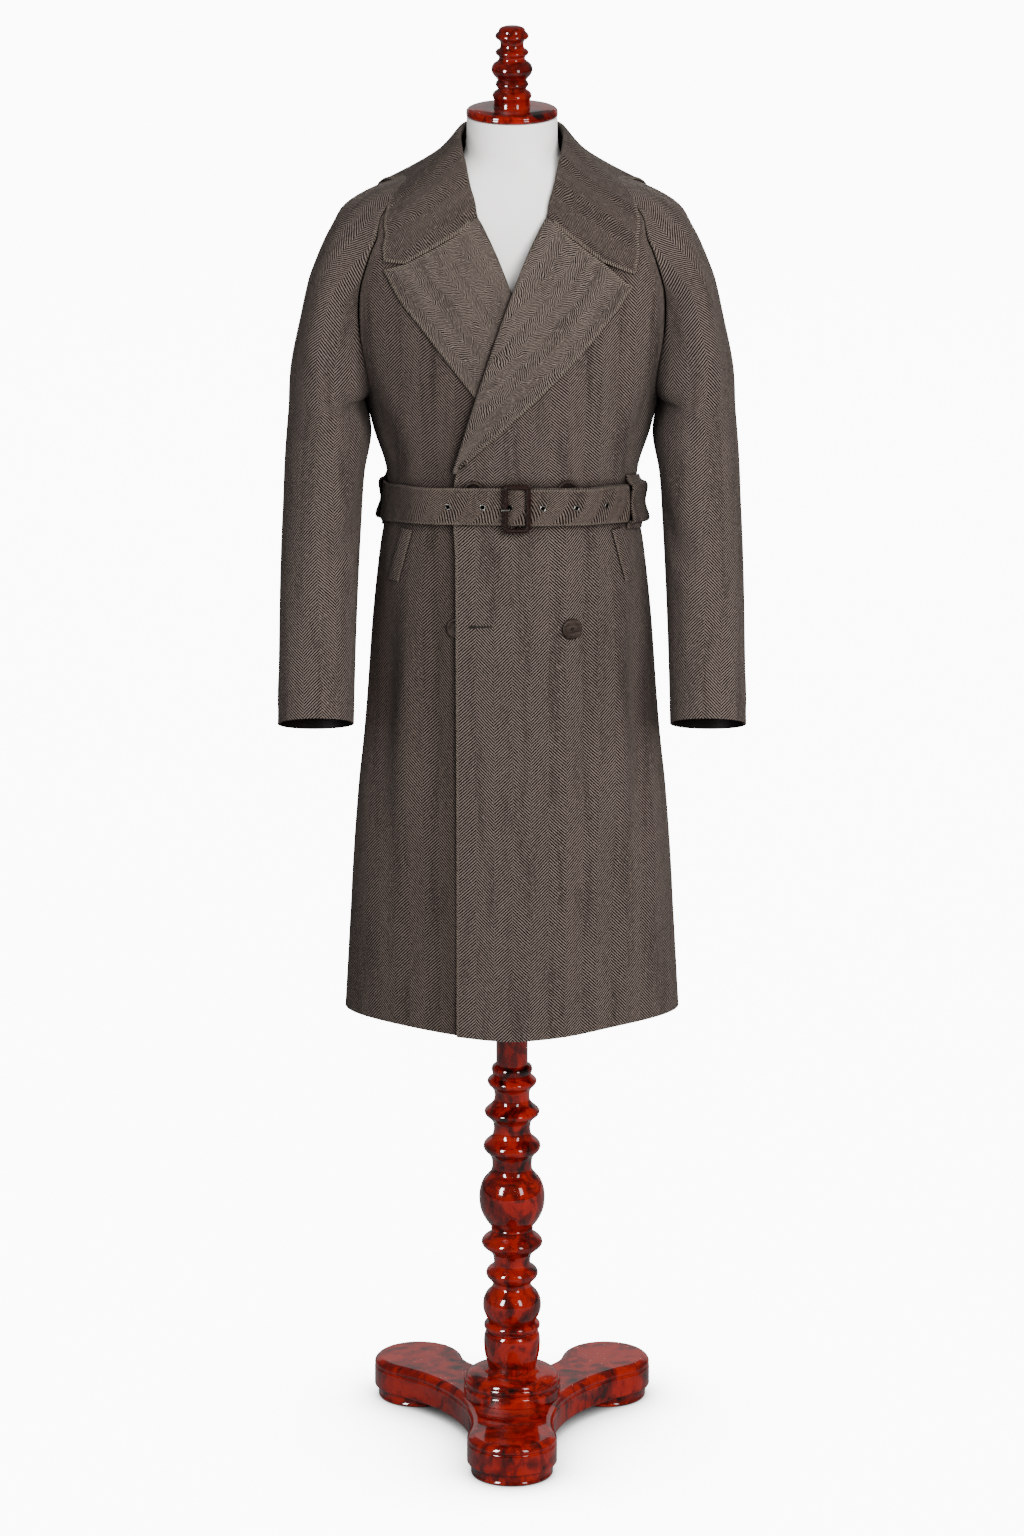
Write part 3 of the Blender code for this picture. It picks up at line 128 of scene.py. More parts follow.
def new_piece(name, points, faces, finish, nodes=(), maps=None, sharp=35.0, weld=0.0):
    """A piece of the object from its points and its faces' corner numbers; it rides on the one body.

    maps: name of a UV map and its two values at each point; weld: points nearer than this are one.
    """
    points = np.asarray(points, float).reshape(-1, 3)
    mesh = bpy.data.meshes.new(name)
    mesh.from_pydata(points.tolist(), [], [list(map(int, face)) for face in faces])
    corners = np.empty(len(mesh.loops), np.int32)
    mesh.loops.foreach_get("vertex_index", corners)
    for map_name, values in (maps or {}).items():
        layer = mesh.uv_layers.new(name=map_name)
        layer.data.foreach_set("uv", np.asarray(values, np.float32).reshape(-1, 2)[corners].ravel())
    if weld:
        shape = bmesh.new()
        shape.from_mesh(mesh)
        bmesh.ops.remove_doubles(shape, verts=shape.verts, dist=weld)
        bmesh.ops.dissolve_degenerate(shape, edges=shape.edges, dist=weld / 10)
        shape.to_mesh(mesh)
        shape.free()
    mesh.shade_smooth()
    if sharp:
        mesh.set_sharp_from_angle(angle=math.radians(sharp))
    mesh.materials.append(finish)
    piece = bpy.data.objects.new(name, mesh)
    bpy.context.scene.collection.objects.link(piece)
    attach(piece, "root")
    if nodes:
        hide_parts(*nodes)
    return piece


def add_node(tree, kind, inputs=(), **settings):
    """A node with its settings; each input is a plain value or another node's output."""
    node = tree.nodes.new(kind)
    for name, value in settings.items():
        setattr(node, name, value)
    for socket, value in dict(inputs).items():
        if isinstance(value, bpy.types.NodeSocket):
            tree.links.new(value, node.inputs[socket])
        else:
            node.inputs[socket].default_value = value
    return node


def calc(tree, operation, *values):
    """Output of a Math node on these values."""
    return add_node(tree, "ShaderNodeMath", dict(enumerate(values)), operation=operation).outputs[0]


def blend_colour(tree, share, first, second):
    """The second colour over the first by a share."""
    return add_node(tree, "ShaderNodeMix", {0: share, 6: first, 7: second}, data_type="RGBA",
                    clamp_factor=True).outputs[2]


def eased(tree, value, low, high, to_low=0.0, to_high=1.0):
    """The value taken from low..high to to_low..to_high, level at both ends."""
    return add_node(tree, "ShaderNodeMapRange", {0: value, 1: low, 2: high, 3: to_low, 4: to_high},
                    interpolation_type="SMOOTHSTEP").outputs[0]


def noise(tree, vector, scale, detail=2.0, roughness=0.5, distortion=0.0):
    """Soft noise over a vector, as its (value, colour)."""
    made = add_node(tree, "ShaderNodeTexNoise", {"Vector": vector, "Scale": scale, "Detail": detail,
                                                 "Roughness": roughness, "Distortion": distortion})
    return made.outputs["Fac"], made.outputs["Color"]


def stretched(tree, vector, scale, turn=(0.0, 0.0, 0.0)):
    """A vector scaled by three factors and turned by three angles, for a pattern that has a grain."""
    inputs = {"Vector": vector, "Rotation": turn, "Scale": scale}
    return add_node(tree, "ShaderNodeMapping", inputs).outputs[0]


def bumped(tree, height, strength, distance):
    """Normals bumped by a height."""
    inputs = {"Height": height, "Strength": strength, "Distance": distance}
    return add_node(tree, "ShaderNodeBump", inputs).outputs[0]


def ramp(tree, value, *stops):
    """Colour at a value between stops of (position, colour)."""
    made = add_node(tree, "ShaderNodeValToRGB", {"Fac": value})
    elements = made.color_ramp.elements
    while len(elements) < len(stops):
        elements.new(0.5)
    for element, (position, colour) in zip(elements, stops):
        element.position = position
        element.color = colour
    return made.outputs["Color"]


def chip(code):
    """Colour of a paint chip, from its six figures to the renderer's linear values."""
    parts = np.array([int(code[i:i + 2], 16) for i in (0, 2, 4)]) / 255
    linear = np.where(parts <= 0.04045, parts / 12.92, ((parts + 0.055) / 1.055) ** 2.4)
    return (*linear.tolist(), 1.0)


def new_group(name, inputs, outputs):
    """An empty node group with those sockets, with its input and output nodes."""
    group = bpy.data.node_groups.new(name, "ShaderNodeTree")
    kinds = {"vector": "NodeSocketVector", "value": "NodeSocketFloat", "colour": "NodeSocketColor"}
    for socket, kind, value in inputs:
        made = group.interface.new_socket(socket, in_out="INPUT", socket_type=kinds[kind])
        if value is not None:
            made.default_value = value
    for socket, kind in outputs:
        group.interface.new_socket(socket, in_out="OUTPUT", socket_type=kinds[kind])
    return group, group.nodes.new("NodeGroupInput").outputs, group.nodes.new("NodeGroupOutput").inputs


def new_material(name, **sockets):
    """A material with its Principled shader, whose plain sockets are set by name with _ for a space."""
    made = bpy.data.materials.new(name)
    made.use_nodes = True
    shader = made.node_tree.nodes["Principled BSDF"]
    for socket, value in sockets.items():
        shader.inputs[socket.replace("_", " ")].default_value = value
    return made, made.node_tree, shader


def feed(tree, shader, **sockets):
    """Links outputs to the shader's sockets, named with _ for a space."""
    for socket, value in sockets.items():
        tree.links.new(value, shader.inputs[socket.replace("_", " ")])


# Grain: fine unevenness that lacquer, horn, leather and the form's skin all have, each at its size.
grain, given, out = new_group(
    "grain",
    (("Vector", "vector", None), ("Size", "value", 0.002), ("Cloud Size", "value", 0.05)),
    (("Fine", "value"), ("Cloud", "value"), ("Height", "value")),
)
fine, _ = noise(grain, given["Vector"], calc(grain, "DIVIDE", 1.0, given["Size"]), 3.0, 0.6)
cloud, _ = noise(grain, given["Vector"], calc(grain, "DIVIDE", 1.0, given["Cloud Size"]), 4.0, 0.55)
grain.links.new(fine, out["Fine"])
grain.links.new(cloud, out["Cloud"])
grain.links.new(calc(grain, "MULTIPLY_ADD", cloud, 0.5, fine), out["Height"])


def grained(tree, size, cloud_size):
    """The object's own coordinates, and the outputs of a grain node on them."""
    place = add_node(tree, "ShaderNodeTexCoord").outputs["Object"]
    sizes = {"Vector": place, "Size": size, "Cloud Size": cloud_size}
    return place, add_node(tree, "ShaderNodeGroup", sizes, node_tree=grain).outputs


# Where a lacquer's tints lie on the scale of its mottle, darkest first.
TINT_PLACES = (0.370, 0.405, 0.445, 0.485, 0.510, 0.600)


def lacquer_finish(name, tints):
    """Red lacquer over wood, mottled from near black to red, under a clear coat.

    Other surfaces see it without its coat, so no lamp's image passes from one turned ring to the next.
    """
    made, tree, shader = new_material(name, Coat_Roughness=0.02, Coat_IOR=1.5, IOR=1.5,
                                      Specular_IOR_Level=0.35)
    place, grains = grained(tree, 0.0016, 0.040)
    blot, _ = noise(tree, place, 26.0, 3.0, 0.55, 1.2)
    streak, _ = noise(tree, stretched(tree, place, (1.0, 1.0, 0.45)), 75.0, 3.0, 0.6, 0.8)
    blot = calc(tree, "MULTIPLY_ADD", streak, 0.35, calc(tree, "MULTIPLY", blot, 0.65))
    stops = [(level, chip(tint)) for level, tint in zip(TINT_PLACES, tints)]
    rough = eased(tree, grains["Fine"], 0.2, 0.8, 0.07, 0.14)
    coat = eased(tree, grains["Cloud"], 0.1, 0.5, 0.92, 1.0)
    rays = add_node(tree, "ShaderNodeLightPath")
    bounced = calc(tree, "MAXIMUM", rays.outputs["Is Diffuse Ray"], rays.outputs["Is Glossy Ray"])
    rough = calc(tree, "MULTIPLY_ADD", bounced, calc(tree, "SUBTRACT", 0.5, rough), rough)
    coat = calc(tree, "MULTIPLY", coat, calc(tree, "SUBTRACT", 1.0, bounced))
    feed(tree, shader, Base_Color=ramp(tree, blot, *stops), Roughness=rough, Coat_Weight=coat,
         Normal=bumped(tree, grains["Cloud"], 0.10, 0.0006))
    return made


lacquer = lacquer_finish("red_lacquer", ("0b0302", "2c0201", "440401", "500502", "680a03", "781004"))
base_lacquer = lacquer_finish("base_lacquer", ("1c0402", "3c0301", "4e0502", "580602", "6c0a03", "761004"))
# A darker copy of the red lacquer, for the finial: painted shade.
shaded_lacquer = lacquer_finish("shaded_lacquer", ("080202", "220201", "340301", "3e0401", "520702", "640c04"))


def arc(middle, radius, begin, end, steps):
    """Points on an arc, by its end angles."""
    angles = np.linspace(begin, end, steps)
    return middle + radius * np.column_stack((np.cos(angles), np.sin(angles)))


def hollow_middle(foot, following):
    """Middle of the hollow side after a foot: an arc that touches both feet's circles."""
    half = (np.array(following[:2]) - np.array(foot[:2])) / 2
    outwards = np.array((half[1], -half[0])) / np.linalg.norm(half)
    return np.array(foot[:2]) + half + outwards * math.sqrt((foot[2] + FOOT_RADIUS) ** 2 - half @ half)


def plate_outline(inset):
    """Three round feet joined by hollow sides: arcs of circles that touch, all moved in by an inset."""
    parts = []
    for number, foot in enumerate(FEET):
        before, following = FEET[number - 1], FEET[(number + 1) % 3]
        middle = np.array(foot[:2])
        ahead, behind = hollow_middle(foot, following), hollow_middle(before, foot)
        begin, end = (math.atan2(*(touch - middle)[::-1]) for touch in (behind, ahead))
        parts.append(arc(middle, FOOT_RADIUS - inset, begin, begin + (end - begin) % (2 * math.pi), 61))
        begin, end = (math.atan2(*(point - ahead)[::-1]) for point in (middle, np.array(following[:2])))
        turn = (end - begin + math.pi) % (2 * math.pi) - math.pi
        parts.append(arc(ahead, foot[2] + inset, begin, begin + turn, 41)[1:-1])
    return np.concatenate(parts)


def turned_points(section, steps):
    """A section of (height, radius) rows, bottom to top, carried round the vertical axis in steps."""
    angles = np.linspace(0, 2 * np.pi, steps, endpoint=False)
    height, radius = section[:, 0, None], section[:, 1, None]
    return np.stack(np.broadcast_arrays(radius * np.cos(angles), radius * np.sin(angles), height), -1)


def turned_piece(name, rows, node, finish=lacquer, step=0.0011, middle=(0.0, 0.0)):
    """A turned piece: its section's curve, given top to bottom, spun round an upright line."""
    points = turned_points(section_curve(rows, step)[::-1], 96) + (*middle, 0.0)
    faces = grid_quads(*points.shape[:2], closed=True)
    return new_piece(name, points, faces, finish, (node,), weld=2e-6)


section = section_curve(PLATE_SECTION, 0.0010)
rings = np.array([np.pad(plate_outline(inset), ((0, 0), (0, 1)), constant_values=height)
                  for height, inset in section])
new_piece("base_plate", rings, tube_faces(*rings.shape[:2]), base_lacquer, ("base",))
for name, foot in zip(("front", "left", "right"), FEET):
    turned_piece(f"pad_{name}", PAD_SECTION, f"foot_pad_{name}", middle=foot[:2], step=0.002)

# ------------------------------------------------------------------ boss and turned column
# The pole's socket is a low turned boss on the plate, and the column above it is one turned post:
# rings, a ball and a vase between coves, with cut grooves.  Same lacquer, sharp in every groove.

BOSS = (
    (0.0920, 0.0), (0.0920, 0.0), (0.0920, 0.0330), (0.0905, 0.0350), (0.0885, 0.0368), (0.0885, 0.0368),
    (0.0880, 0.0430), (0.0870, 0.0500), (0.0850, 0.0560), (0.0822, 0.0590), (0.0800, 0.0598),
    (0.0800, 0.0598), (0.0793, 0.0612), (0.0775, 0.0624), (0.0750, 0.0628), (0.0722, 0.0622),
    (0.0708, 0.0606), (0.0708, 0.0606), (0.0698, 0.0598), (0.0686, 0.0606), (0.0686, 0.0606),
    (0.0672, 0.0620), (0.0655, 0.0626), (0.0620, 0.0626), (0.0620, 0.0626), (0.0556, 0.0626),
    (0.0556, 0.0626), (0.0556, 0.0),
)
COLUMN = (
    (0.8996, 0.0), (0.8996, 0.0), (0.8996, 0.0204), (0.8996, 0.0204), (0.5072, 0.0204), (0.5072, 0.0204),
    (0.5062, 0.0226), (0.5042, 0.0252), (0.5003, 0.0264), (0.4958, 0.0254), (0.4922, 0.0238),
    (0.4922, 0.0238), (0.4895, 0.0276), (0.4844, 0.0318), (0.4800, 0.0302), (0.4755, 0.0258),
    (0.4700, 0.0232), (0.4640, 0.0225), (0.4580, 0.0233), (0.4530, 0.0264), (0.4480, 0.0318),
    (0.4431, 0.0356), (0.4388, 0.0340), (0.4345, 0.0290), (0.4290, 0.0250), (0.4220, 0.0237),
    (0.4150, 0.0240), (0.4090, 0.0264), (0.4040, 0.0322), (0.3995, 0.0360), (0.3949, 0.0369),
    (0.3905, 0.0350), (0.3860, 0.0304), (0.3800, 0.0268), (0.3730, 0.0257), (0.3665, 0.0258),
    (0.3610, 0.0276), (0.3560, 0.0318), (0.3490, 0.0372), (0.3400, 0.0407), (0.3310, 0.0423),
    (0.3225, 0.0424), (0.3135, 0.0413), (0.3045, 0.0384), (0.2965, 0.0342), (0.2900, 0.0295),
    (0.2855, 0.0262), (0.2855, 0.0262), (0.2843, 0.0270), (0.2822, 0.0270), (0.2808, 0.0260),
    (0.2808, 0.0260), (0.2770, 0.0288), (0.2715, 0.0358), (0.2672, 0.0390), (0.2640, 0.0395),
    (0.2600, 0.0376), (0.2550, 0.0318), (0.2499, 0.0264), (0.2499, 0.0264), (0.2460, 0.0247),
    (0.2405, 0.0237), (0.2350, 0.0238), (0.2317, 0.0245), (0.2317, 0.0245), (0.2302, 0.0286),
    (0.2265, 0.0324), (0.2220, 0.0337), (0.2178, 0.0324), (0.2138, 0.0290), (0.2107, 0.0257),
    (0.2107, 0.0257), (0.2080, 0.0250), (0.2048, 0.0251), (0.2012, 0.0272), (0.1952, 0.0328),
    (0.1880, 0.0364), (0.1800, 0.0377), (0.1720, 0.0371), (0.1642, 0.0344), (0.1585, 0.0312),
    (0.1562, 0.0300), (0.1562, 0.0300), (0.1552, 0.0335), (0.1530, 0.0358), (0.1500, 0.0364),
    (0.1472, 0.0357), (0.1452, 0.0340), (0.1441, 0.0318), (0.1441, 0.0318), (0.1427, 0.0318),
    (0.1427, 0.0318), (0.1416, 0.0336), (0.1385, 0.0354), (0.1340, 0.0363), (0.1280, 0.0366),
    (0.1200, 0.0363), (0.1110, 0.0352), (0.1068, 0.0343), (0.1068, 0.0343), (0.1060, 0.0334),
    (0.1052, 0.0340), (0.1052, 0.0340), (0.1020, 0.0330), (0.0970, 0.0316), (0.0925, 0.0312),
    (0.0925, 0.0312), (0.0925, 0.0),
)

turned_piece("boss_turned", BOSS, "boss")
turned_piece("column_turned", COLUMN, "column")

# ------------------------------------------------------------------ dress form
# The torso and neck of a shop form, moulded hollow and covered in smooth matt white.  It fills the
# coat a little inside its cloth, and ends flat at the neck and below the hips.

# The coat's body: a level section at each height is a superellipse.
# height, half width, depth in front, depth behind, squareness (2 is an ellipse)
BODY = np.array((
    (0.5870, 0.2140, 0.150, 0.165, 1.70), (0.8000, 0.2010, 0.143, 0.155, 1.95),
    (1.0000, 0.1840, 0.135, 0.142, 2.15), (1.1200, 0.1750, 0.129, 0.131, 2.25),
    (1.2000, 0.1660, 0.123, 0.119, 2.30), (1.2600, 0.1570, 0.117, 0.106, 2.30),
    (1.3000, 0.1585, 0.119, 0.110, 2.30), (1.3500, 0.1740, 0.124, 0.117, 2.30),
    (1.4000, 0.1860, 0.127, 0.122, 2.30), (1.4600, 0.2050, 0.128, 0.125, 2.30),
    (1.5200, 0.2125, 0.122, 0.124, 2.30), (1.5700, 0.2160, 0.111, 0.118, 2.30),
    (1.6020, 0.2160, 0.098, 0.110, 2.30), (1.6355, 0.2080, 0.082, 0.098, 2.30),
    (1.6560, 0.1720, 0.073, 0.089, 2.30), (1.6710, 0.1300, 0.067, 0.083, 2.30),
    (1.6870, 0.0880, 0.062, 0.078, 2.30), (1.7000, 0.0740, 0.060, 0.076, 2.30),
    (1.7200, 0.0660, 0.058, 0.074, 2.30),
))
# How far the form's surface lies inside the coat's, by height.
FORM_DEPTH = np.array((
    (0.900, 0.030), (1.050, 0.024), (1.150, 0.023), (1.250, 0.021), (1.350, 0.025), (1.450, 0.038),
    (1.520, 0.037), (1.570, 0.028), (1.600, 0.019), (1.620, 0.0125), (1.640, 0.0062), (1.660, 0.0052),
    (1.680, 0.0048), (1.690, 0.0050),
))
FORM_LEVELS = (0.900, 0.98, 1.06, 1.14, 1.20, 1.26, 1.32, 1.38, 1.44, 1.50, 1.55, 1.585, 1.61, 1.63,
               1.645, 1.66, 1.675, 1.688)
# The neck above: height, radius, how far its middle stands behind the pole
NECK = ((1.7000, 0.0615, -0.004), (1.7130, 0.0578, -0.001), (1.7300, 0.0566, 0.0), (1.7480, 0.0564, 0.0))


def unit(vectors):
    """The same directions, each one long."""
    return vectors / np.linalg.norm(vectors, axis=-1, keepdims=True)


def smooth(t):
    """0 up to t = 0, 1 from t = 1, and level at both."""
    t = np.clip(t, 0.0, 1.0)
    return t * t * (3 - 2 * t)


def body_point(height, angle):
    """Point of the coat's body at a height and an angle (0 is the front, pi / 2 the wearer's left).

    x is the half width and y the depth times the sine and cosine to the power 2 / squareness.
    """
    height, angle = np.broadcast_arrays(np.asarray(height, float), np.asarray(angle, float))
    half, front, back, square = (along(BODY[:, 0], BODY[:, column], height) for column in (1, 2, 3, 4))
    sin, cos = np.sin(angle), np.cos(angle)
    depth = np.where(cos > 0, front, back)
    x = half * np.sign(sin) * np.abs(sin) ** (2 / square)
    y = -depth * np.sign(cos) * np.abs(cos) ** (2 / square)
    return np.stack((x, y, height), -1)


def body_normal(height, angle):
    """Outward direction of the body's surface, from the slopes of its two families of curves."""
    small = 1e-3
    around = body_point(height, np.asarray(angle) + small) - body_point(height, np.asarray(angle) - small)
    upwards = body_point(np.asarray(height) + small, angle) - body_point(np.asarray(height) - small, angle)
    return unit(np.cross(around, upwards))


def lifted(height, angle, lift):
    """Point at a distance from the body's surface."""
    return body_point(height, angle) + body_normal(height, angle) * np.asarray(lift)[..., None]


form_white, tree, shader = new_material("form_white", Sheen_Weight=0.06, Specular_IOR_Level=0.35)
_, grains = grained(tree, 0.0009, 0.12)
feed(tree, shader,
     Base_Color=ramp(tree, grains["Cloud"], (0.35, chip("e9e7e4")), (0.65, chip("efedea"))),
     Roughness=eased(tree, grains["Fine"], 0.2, 0.8, 0.52, 0.66),
     Normal=bumped(tree, grains["Height"], 0.25, 0.0003))

angles = np.linspace(0, 2 * np.pi, 128, endpoint=False)
inset = along(FORM_DEPTH[:, 0], FORM_DEPTH[:, 1], np.array(FORM_LEVELS))
rings = [lifted(level, angles, np.full(128, -depth)) for level, depth in zip(FORM_LEVELS, inset)]
rings += [np.stack((radius * np.sin(angles), -middle - radius * np.cos(angles), np.full(128, height)), -1)
          for height, radius, middle in NECK]
rings[0][:, 2] += 0.006
rings = np.array(rings)
climb = walked(rings[:, 0])
rings = along(climb, rings.reshape(len(rings), -1), np.linspace(0, climb[-1], 130)).reshape(-1, 128, 3)
rim = np.array([rings[0] * (1 - 0.05 * t, 1 - 0.05 * t, 1) - (0, 0, 0.006 * math.sin(t * math.pi / 2))
                for t in (1.0, 0.75, 0.5, 0.25)])
rings = np.concatenate((rim, rings))
new_piece("form_body", rings, tube_faces(*rings.shape[:2]), form_white, ("form",), sharp=50)

# ------------------------------------------------------------------ neck cap and finial
# A turned disc closes the form's neck, and a small turned finial stands on it.  Both are lacquered
# like the stand; the finial's lacquer is a darker copy, painted shade.

NECK_CAP = (
    (1.7590, 0.0), (1.7590, 0.0), (1.7590, 0.0500), (1.7586, 0.0530), (1.7576, 0.0552), (1.7560, 0.0566),
    (1.7545, 0.0570), (1.7545, 0.0570), (1.7538, 0.0564), (1.7531, 0.0570), (1.7531, 0.0570),
    (1.7510, 0.0571), (1.7496, 0.0566), (1.7485, 0.0552), (1.7485, 0.0552), (1.7485, 0.0),
)
FINIAL = (
    (1.8620, 0.0), (1.8618, 0.0060), (1.8608, 0.0118), (1.8590, 0.0152), (1.8570, 0.0166),
    (1.8545, 0.0172), (1.8545, 0.0172), (1.8532, 0.0190), (1.8512, 0.0205), (1.8490, 0.0209),
    (1.8468, 0.0198), (1.8452, 0.0172), (1.8452, 0.0172), (1.8425, 0.0152), (1.8390, 0.0145),
    (1.8355, 0.0150), (1.8332, 0.0166), (1.8318, 0.0192), (1.8292, 0.0207), (1.8265, 0.0196),
    (1.8250, 0.0176), (1.8250, 0.0176), (1.8228, 0.0166), (1.8202, 0.0166), (1.8170, 0.0200),
    (1.8138, 0.0236), (1.8105, 0.0253), (1.8073, 0.0257), (1.8040, 0.0250), (1.8005, 0.0230),
    (1.7970, 0.0200), (1.7938, 0.0176), (1.7938, 0.0176), (1.7922, 0.0192), (1.7900, 0.0204),
    (1.7876, 0.0203), (1.7855, 0.0190), (1.7842, 0.0174), (1.7842, 0.0174), (1.7822, 0.0182),
    (1.7798, 0.0214), (1.7775, 0.0236), (1.7750, 0.0244), (1.7722, 0.0239), (1.7700, 0.0228),
    (1.7700, 0.0228), (1.7685, 0.0222), (1.7650, 0.0221), (1.7610, 0.0228), (1.7595, 0.0236),
    (1.7595, 0.0236), (1.7595, 0.0),
)

turned_piece("neck_cap_turned", NECK_CAP, "neck_cap", step=0.0008)
turned_piece("finial_turned", FINIAL, "finial", finish=shaded_lacquer, step=0.0008)

# ------------------------------------------------------------------ the coat's fronts and back
# Three panels of heavy herringbone coating, 3 mm thick, lined with dark satin.  The left front laps
# over the right one; side seams run up to the arms, and raglan seams from there to the neck.

CLOTH = 0.003
# Gap between two pieces that are sewn to each other.
SEAM = 0.0005
ARMPIT = 1.392
HEM = 0.587
HEM_RISE = 0.005
# Angle of the line between a panel's two sets of columns, below and above its turn, and that turn.
SIDE_LINE = (1.15, 1.00)
SIDE_LINE_FROM = 1.34
SIDE_LINE_OVER = 0.12
# A raglan sleeve's stations from the neck to the armpit: the seams by their angle from the middle
# of the front or the back, then the sleeve's top, and its share of its own shape.
# front angle, front height, back angle, back height, top x, top y, top z, own shape
CAP = np.array((
    (44.0, 1.6725, 42.0, 1.694, 0.0880, 0.004, 1.6870, 0.00),
    (51.0, 1.6620, 46.0, 1.680, 0.1300, 0.003, 1.6710, 0.00),
    (49.5, 1.6460, 47.0, 1.660, 0.1720, 0.002, 1.6560, 0.00),
    (47.5, 1.6200, 48.0, 1.630, 0.2080, 0.001, 1.6355, 0.20),
    (53.5, 1.5800, 52.0, 1.590, 0.2345, -0.002, 1.6020, 0.70),
    (61.0, 1.5350, 57.0, 1.543, 0.2535, -0.005, 1.5450, 1.00),
    (63.7, 1.4870, 61.0, 1.492, 0.2660, -0.008, 1.4900, 1.00),
    (65.0, 1.4400, 64.0, 1.443, 0.2740, -0.010, 1.4480, 1.00),
    (70.0, 1.4140, 70.0, 1.415, 0.2770, -0.011, 1.4250, 1.00),
    (79.0, 1.3990, 79.0, 1.399, 0.2782, -0.012, 1.4060, 1.00),
    (90.0, ARMPIT, 90.0, ARMPIT, 0.2790, -0.012, 1.3880, 1.00),
))
# The top front's edge by height, which the lapel turns back along; the under front's is its mirror image.
FRONT_EDGE = np.array((
    (0.587, -0.0684), (1.200, -0.0684), (1.3148, -0.0684), (1.3657, -0.0546), (1.4565, -0.0272),
    (1.5370, 0.0012), (1.6017, 0.0284), (1.6336, 0.0458), (1.6550, 0.0600), (1.6725, 0.0790),
))
# How far the top front lies above the under one, by height, and where that runs out to the side.
STEP = np.array((
    (0.587, 0.0055), (0.90, 0.0060), (1.12, 0.0088), (1.30, 0.0088), (1.37, 0.0090), (1.42, 0.0094),
    (1.53, 0.0094), (1.56, 0.0070), (1.60, 0.0010), (1.62, 0.0), (1.72, 0.0),
))
STEP_START = 0.060
STEP_WIDTH = 0.075
# Soft folds of a panel: x and height of each end, half width, how far it stands out (or in).
FRONT_FOLDS = (
    (0.150, 1.200, 0.172, 0.780, 0.016, -0.0068), (0.128, 1.215, 0.140, 0.720, 0.018, 0.0052),
    (0.098, 1.210, 0.104, 0.880, 0.014, -0.0034), (0.163, 1.450, 0.120, 1.330, 0.011, 0.0030),
    (0.172, 1.405, 0.138, 1.300, 0.010, -0.0034), (0.120, 1.345, 0.132, 1.290, 0.008, 0.0024),
    (0.092, 1.340, 0.098, 1.290, 0.007, -0.0018), (0.176, 1.010, 0.190, 0.640, 0.020, 0.0046),
    (0.120, 0.900, 0.128, 0.600, 0.022, -0.0042), (0.064, 0.860, 0.060, 0.600, 0.020, 0.0026),
    (0.105, 1.225, 0.112, 1.150, 0.007, 0.0018), (0.080, 1.228, 0.082, 1.165, 0.006, -0.0014),
)
BACK_FOLDS = (
    (-0.030, 1.200, -0.048, 0.650, 0.022, 0.0042), (0.034, 1.205, 0.060, 0.620, 0.024, -0.0040),
    (0.086, 1.200, 0.112, 0.700, 0.020, 0.0038), (-0.088, 1.210, -0.118, 0.660, 0.022, -0.0036),
    (0.000, 1.190, 0.004, 0.900, 0.016, -0.0026), (-0.128, 1.195, -0.158, 0.760, 0.016, 0.0030),
    (0.132, 1.190, 0.160, 0.800, 0.015, -0.0030), (0.060, 1.300, 0.086, 1.470, 0.018, 0.0036),
    (-0.058, 1.300, -0.090, 1.450, 0.017, 0.0032), (0.010, 1.290, 0.006, 1.400, 0.012, -0.0020),
    (0.120, 1.310, 0.150, 1.400, 0.012, -0.0026), (-0.118, 1.300, -0.146, 1.410, 0.013, -0.0024),
    (0.020, 1.560, 0.120, 1.600, 0.016, 0.0014), (-0.024, 1.555, -0.116, 1.606, 0.016, 0.0012),
)
# Share of its length over which a fold swells.
FOLD_SWELL = 0.35
# Columns of a panel inside its side line, and from there to the seam.
COLUMNS = (46, 20)
# The hem rises between front, side and back from this height down, over this much.
HEM_RISE_FROM = 0.75
HEM_RISE_OVER = 0.163
# Height over which a side seam takes over from a raglan seam or an open edge.
SEAM_TURN = 0.02


def angle_at(x, height):
    """Angle of the front's point at this x and height: body_point's formula turned round."""
    x, height = np.asarray(x, float), np.asarray(height, float)
    half, square = (along(BODY[:, 0], BODY[:, column], height) for column in (1, 4))
    return np.sign(x) * np.arcsin(np.clip(np.abs(x) / half, 0.0, 1.0) ** (square / 2))


def front_step(x, height, on_top=True):
    """How far a front lies above the body's surface, at a table of places: only the top one is lifted."""
    if not on_top:
        return np.zeros(np.shape(x))
    step = along(STEP[:, 0], STEP[:, 1], height)
    return step * (1 - smooth((x - STEP_START) / STEP_WIDTH))


def mirrored(points):
    """The same points on the other side of the coat."""
    return points * np.array((-1.0, 1.0, 1.0))


def folds(across, up, table):
    """Soft folds: each a bell across its line, swelling from nothing at both of its ends."""
    total = np.zeros(np.broadcast(across, up).shape)
    for x0, z0, x1, z1, half_width, height in table:
        run = np.array((x1 - x0, z1 - z0))
        long = np.linalg.norm(run)
        share = ((across - x0) * run[0] + (up - z0) * run[1]) / long ** 2
        off = ((across - x0) * run[1] - (up - z0) * run[0]) / long
        bell = height * np.exp(-((off / half_width) ** 2))
        total += bell * smooth(share / FOLD_SWELL) * smooth((1 - share) / FOLD_SWELL)
    return total


def seam_relief(distance):
    """Height of the cloth beside a lapped seam: a dip at the seam, then a low ridge of turnings."""
    ridge = 0.0011 * np.exp(-(((distance - 0.0042) / 0.0026) ** 2))
    return ridge - 0.0013 * np.exp(-((distance / 0.0011) ** 2))


